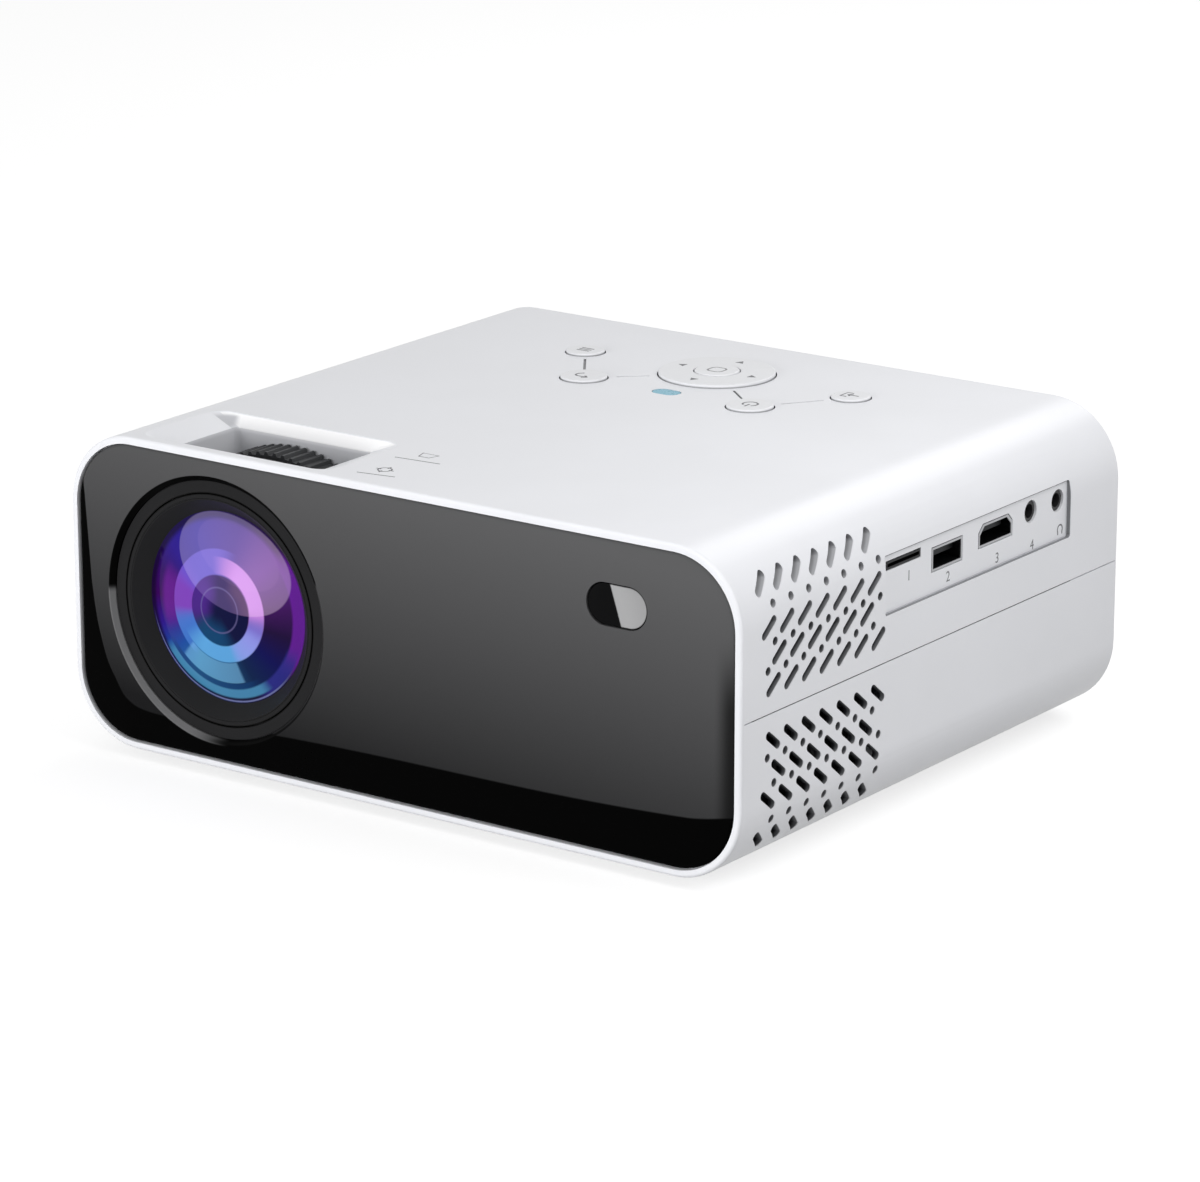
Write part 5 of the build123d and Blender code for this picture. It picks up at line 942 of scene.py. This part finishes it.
def arc(centre, radius, start, end, steps):
    """Points along a circle, from one direction to another in degrees."""
    turns = [math.radians(start + (end - start) * i / steps) for i in range(steps + 1)]
    places = [(centre[0] + radius * math.cos(t), centre[1] + radius * math.sin(t)) for t in turns]
    return [(round(x, 4), round(y, 4)) for x, y in places]


def facing_back(x, y, z):
    """A mark on the roof, read by someone who stands behind the projector."""
    return Matrix.Translation(Vector((x, y, z)) * MM) @ Matrix.Rotation(math.pi, 4, "Z")


STROKES = stroke_tree()


def print_mark(name, body, strokes, width, place):
    sizes = {"Width": width * MM, "Thickness": INK_THICKNESS * MM}
    piece = grown(name, *joined(strokes), STROKES, place, Material=INK, **sizes)
    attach(piece, body)


print("ink is", INK_THICKNESS, "mm thick")

# %% [markdown]
# Four keys, four plain signs that any player or projector has: a list, a way back, the mains switch and an
# arrow into a box. Two more stand on the roof beside the thumb wheels, each with a short line under it: a
# ring with cross hairs for focus, and a leaning picture for keystone.

# %% Key signs
KEY_STROKE = 0.55
ROOF_STROKE = 0.4
LIST = [[(-1.9, h), (1.9, h)] for h in (1.2, 0, -1.2)]
BACK = [
    [(1.0, -1.7)] + arc((0.6, 0.1), 1.5, -60, 90, 14) + [(-2.0, 1.6)],
    [(-0.9, 2.6), (-2.1, 1.6), (-0.9, 0.6)],
]
MAINS = [arc((0, -0.2), 1.9, 125, 415, 30), [(0, 0.2), (0, 2.5)]]
INTO_BOX = [
    [(0.2, 1.8), (2.0, 1.8), (2.0, -1.8), (0.2, -1.8)],
    [(-2.3, 0), (0.7, 0)],
    [(-0.2, 0.9), (0.8, 0), (-0.2, -0.9)],
]
CROSS_HAIRS = [[(1.1 * x, 1.1 * y), (2.6 * x, 2.6 * y)] for x, y in ((1, 0), (0, 1), (-1, 0), (0, -1))]
FOCUS = [arc((0, 0), 1.7, 0, 360, 28)] + CROSS_HAIRS
LEANING = [[(-2.4, -1.5), (2.4, -1.5), (1.5, 1.5), (-1.5, 1.5), (-2.4, -1.5)]]
LEFT_SIGNS = {"key_left_far": LIST, "key_left_near": BACK}
RIGHT_SIGNS = {"key_right_near": MAINS, "key_right_far": INTO_BOX}
KEY_SIGNS = {**LEFT_SIGNS, **RIGHT_SIGNS}
# Each roof sign: strokes, place on the roof, and the two ends of the line under it.
ROOF_SIGNS = {
    "focus": (FOCUS, (-11.6, -71.4), [(-15.7, -77.0), (-5.6, -75.3)]),
    "keystone": (LEANING, (-11.1, -55.4), [(-16.8, -60.8), (-4.1, -59.7)]),
}

for key, strokes in KEY_SIGNS.items():
    low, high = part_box(key)
    middle = (low + high) / 2 / MM
    print_mark(key + "_sign", key, strokes, KEY_STROKE, facing_back(middle.x, middle.y, high.z / MM))
for wheel, (strokes, spot, line) in ROOF_SIGNS.items():
    print_mark(wheel + "_sign", "casing", strokes, ROOF_STROKE, facing_back(*spot, SHELL_HI / MM))
    print_mark(wheel + "_line", "casing", [line], ROOF_STROKE, Matrix.Translation((0, 0, SHELL_HI)))
print("signs:", ", ".join([*KEY_SIGNS, *ROOF_SIGNS]))

# %% [markdown]
# The navigation ring has four small arrowheads at equal steps. That is repetition on a circle: Geometry
# Nodes puts a three-cornered plate on each point of a four-cornered circle and turns its tip outwards.

# %% Arrowheads
ARROW_SIZES = {"Count": 4, "Radius": 10.6 * MM, "Size": 1.4 * MM, "Thickness": INK_THICKNESS * MM / 2}


def arrow_tree():
    numbers = ("Radius", "Size", "Thickness")
    tree, come = tree_with("arrow_ring", *numbers, Count="Int", Material="Material")
    circle = {"Vertices": come["Count"], "Radius": come["Radius"]}
    spots = node(tree, "GeometryNodeMeshCircle", circle).outputs[0]
    corners = {"Vertices": 3, "Radius": come["Size"]}
    plate = node(tree, "GeometryNodeMeshCircle", corners, fill_type="NGON").outputs[0]
    outward = node(tree, "GeometryNodeInputPosition").outputs[0]
    turn = node(tree, "FunctionNodeAlignRotationToVector", {"Vector": outward}, axis="X").outputs[0]
    turned = {0: spots, "Instance": plate, "Rotation": turn}
    copies = node(tree, "GeometryNodeInstanceOnPoints", turned).outputs[0]
    real = node(tree, "GeometryNodeRealizeInstances", {0: copies}).outputs[0]
    raised = {0: real, "Offset Scale": come["Thickness"]}
    return end_tree(tree, node(tree, "GeometryNodeExtrudeMesh", raised).outputs[0], come["Material"])


ring_low, ring_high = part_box("nav_ring")
ring_middle = (ring_low + ring_high) / 2
ring_top = Matrix.Translation((ring_middle.x, ring_middle.y, ring_high.z))
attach(grown("nav_arrows", ONE_POINT, [], arrow_tree(), ring_top, Material=INK, **ARROW_SIZES), "nav_ring")
print("arrowheads on a circle of", round(ARROW_SIZES["Radius"] / MM, 1), "mm")

# %% [markdown]
# The sockets are numbered from front to back, and the last one wears the usual headphone sign. Digits come
# from Blender's own font as a text object. It is filled and given a hair of thickness, made a mesh, and
# only then laid on the plate.

# %% Socket numbers
PLATE_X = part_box("port_plate")[1].x / MM
DIGITS = {"1": (-11.9, 60.8), "2": (5.6, 56.4), "3": (28.0, 55.8), "4": (44.3, 55.3)}
DIGIT_HEIGHT = 2.7
# Height of the font's digits as a share of the letter size.
DIGIT_SHARE = 0.73
HEADPHONES = [arc((0, 0), 1.15, -30, 210, 24), [(-1.0, -0.5), (-1.0, -1.3)], [(1.0, -0.5), (1.0, -1.3)]]
HEADPHONE_SPOT = (57.5, 56.3)


def on_plate(y, z):
    """Right on the mark is +Y and up is +Z, on the socket plate's outer face."""
    turned = Matrix(((0, 0, 1, 0), (1, 0, 0, 0), (0, 1, 0, 0), (0, 0, 0, 1)))
    return Matrix.Translation(Vector((PLATE_X, y, z)) * MM) @ turned


def digit(text, y, z):
    letters = bpy.data.curves.new("digit_" + text, "FONT")
    letters.body = text
    letters.size = DIGIT_HEIGHT * MM / DIGIT_SHARE
    letters.align_x, letters.align_y = "CENTER", "CENTER"
    letters.extrude = INK_THICKNESS * MM / 2
    mesh = plain_mesh(link(bpy.data.objects.new("digit_source", letters)))
    mesh.transform(on_plate(y, z))
    mesh.materials.clear()
    mesh.materials.append(INK)
    piece = link(bpy.data.objects.new("socket_number_" + text, mesh))
    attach(piece, "casing")


for text, spot in DIGITS.items():
    digit(text, *spot)
print_mark("headphone_sign", "casing", HEADPHONES, ROOF_STROKE, on_plate(*HEADPHONE_SPOT))
print("plate face at x", round(PLATE_X, 1), "mm, numbers", ", ".join(DIGITS))

# %% [markdown]
# Inside the two larger sockets, gold contacts lie side by side on a black tongue. A row of equal strips is
# a line of points with a box on each, so one tree serves every row: it takes the count, the pitch and the
# strip's size.


# %% Socket contacts
def sized_box(tree, length, width, thickness):
    size = node(tree, "ShaderNodeCombineXYZ", {"X": length, "Y": width, "Z": thickness}).outputs[0]
    return node(tree, "GeometryNodeMeshCube", {"Size": size}).outputs[0]


def contact_tree():
    numbers = ("Pitch", "Width", "Length", "Thickness")
    tree, come = tree_with("contact_row", *numbers, Count="Int", Material="Material")
    step = node(tree, "ShaderNodeCombineXYZ", {"Y": come["Pitch"]}).outputs[0]
    spots = node(tree, "GeometryNodeMeshLine", {"Count": come["Count"], "Offset": step}).outputs[0]
    strip = sized_box(tree, come["Length"], come["Width"], come["Thickness"])
    copies = node(tree, "GeometryNodeInstanceOnPoints", {0: spots, "Instance": strip}).outputs[0]
    return end_tree(tree, copies, come["Material"])


# Each row: count, pitch, width, middle of the tongue along Y, height of the face that carries it.
CONTACT_ROWS = {
    "data_contacts": (4, 2.3, 1.0, 5.0, 62.25),
    "video_contacts_top": (10, 1.0, 0.45, 27.0, 64.8),
    "video_contacts_under": (9, 1.0, 0.45, 27.0, 63.0),
}
CONTACT_BACK, CONTACT_TIP = 85.2, 96.3
CONTACT_THICKNESS = 0.1
CONTACTS = contact_tree()
for name, (count, pitch, width, y, z) in CONTACT_ROWS.items():
    start = Vector(((CONTACT_BACK + CONTACT_TIP) / 2, y - pitch * (count - 1) / 2, z)) * MM
    length = CONTACT_TIP - CONTACT_BACK
    strip = {"Length": length * MM, "Width": width * MM, "Thickness": CONTACT_THICKNESS * MM}
    sizes = {"Count": count, "Pitch": pitch * MM, **strip, "Material": METALS["gold_contact"]}
    row = grown(name, ONE_POINT, [], CONTACTS, Matrix.Translation(start), **sizes)
    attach(row, "casing")
print("contact rows:", ", ".join(CONTACT_ROWS))

# %% [markdown]
# Two threads can be seen from below: on the stem of the tilting foot and inside the brass insert for a
# tripod. A thread is a ridge wound on a spiral, so the tree starts from the spiral curve and sweeps a small
# diamond along it.

# %% Threads
STEPS_PER_TURN = 40
RIDGE = 0.1


def thread_tree():
    tree, come = tree_with("thread", "Radius", "Turns", "Height", "Ridge", Material="Material")
    radii = {"Start Radius": come["Radius"], "End Radius": come["Radius"]}
    winding = {"Resolution": STEPS_PER_TURN, "Rotations": come["Turns"], "Height": come["Height"]}
    spiral = node(tree, "GeometryNodeCurveSpiral", {**radii, **winding}).outputs[0]
    diamond = {"Resolution": 4, "Radius": come["Ridge"]}
    ridge = node(tree, "GeometryNodeCurvePrimitiveCircle", diamond).outputs[0]
    swept = node(tree, "GeometryNodeCurveToMesh", {0: spiral, 1: ridge, "Fill Caps": True}).outputs[0]
    return end_tree(tree, swept, come["Material"])


# Each thread: body, place of its lower end, length, radius, pitch, finish.
THREAD_ROWS = {
    "foot_thread": ("tilt_foot", (0.0, -62.0, 6.9), 20.6, 4.0, 1.25, "part_black"),
    "tripod_thread": ("casing", (0.0, 10.0, 2.9), 7.2, 2.6, 1.27, "brass_insert"),
}
THREAD = thread_tree()
for name, (body, foot, length, radius, pitch, surface) in THREAD_ROWS.items():
    place = Matrix.Translation(Vector(foot) * MM)
    sizes = {"Radius": radius * MM, "Turns": length / pitch, "Height": length * MM, "Ridge": RIDGE * MM}
    ridge = grown(name, ONE_POINT, [], THREAD, place, Material=FINISHES[surface], **sizes)
    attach(ridge, body)
print("threads:", ", ".join(THREAD_ROWS))

# %% [markdown]
# Four screws hold the two halves together, deep in their holes. Their heads have a cross recess: two bars
# on each point of a short list. Nobody looks into the recess itself, so a dark cross on the head, painted
# shade that stands for the recess, is enough.

# %% Screw crosses
SCREW_HEADS = ((-80, 74), (80, 74), (74, -70), (-76, -14))
CROSS_SIZES = {"Length": 3.4 * MM, "Width": 0.9 * MM, "Thickness": 0.1 * MM}


def cross_tree():
    tree, come = tree_with("screw_crosses", "Length", "Width", "Thickness", Material="Material")
    bar = sized_box(tree, come["Length"], come["Width"], come["Thickness"])
    turned = node(tree, "GeometryNodeTransform", {0: bar, "Rotation": (0, 0, math.pi / 2)}).outputs[0]
    cross = node(tree, "GeometryNodeJoinGeometry", {0: bar})
    tree.links.new(turned, cross.inputs[0])
    crosses = {0: come["Geometry"], "Instance": cross.outputs[0]}
    return end_tree(tree, node(tree, "GeometryNodeInstanceOnPoints", crosses).outputs[0], come["Material"])


head_place = Matrix.Translation((0, 0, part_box("casing_screws")[0].z))
# Painted shade of the cross recess, in the dark plastic.
recess_shade = PLASTICS["part_black"]
crosses = grown("screw_crosses", SCREW_HEADS, [], cross_tree(), head_place, Material=recess_shade, **CROSS_SIZES)
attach(crosses, "casing")
print("screw heads:", len(SCREW_HEADS))
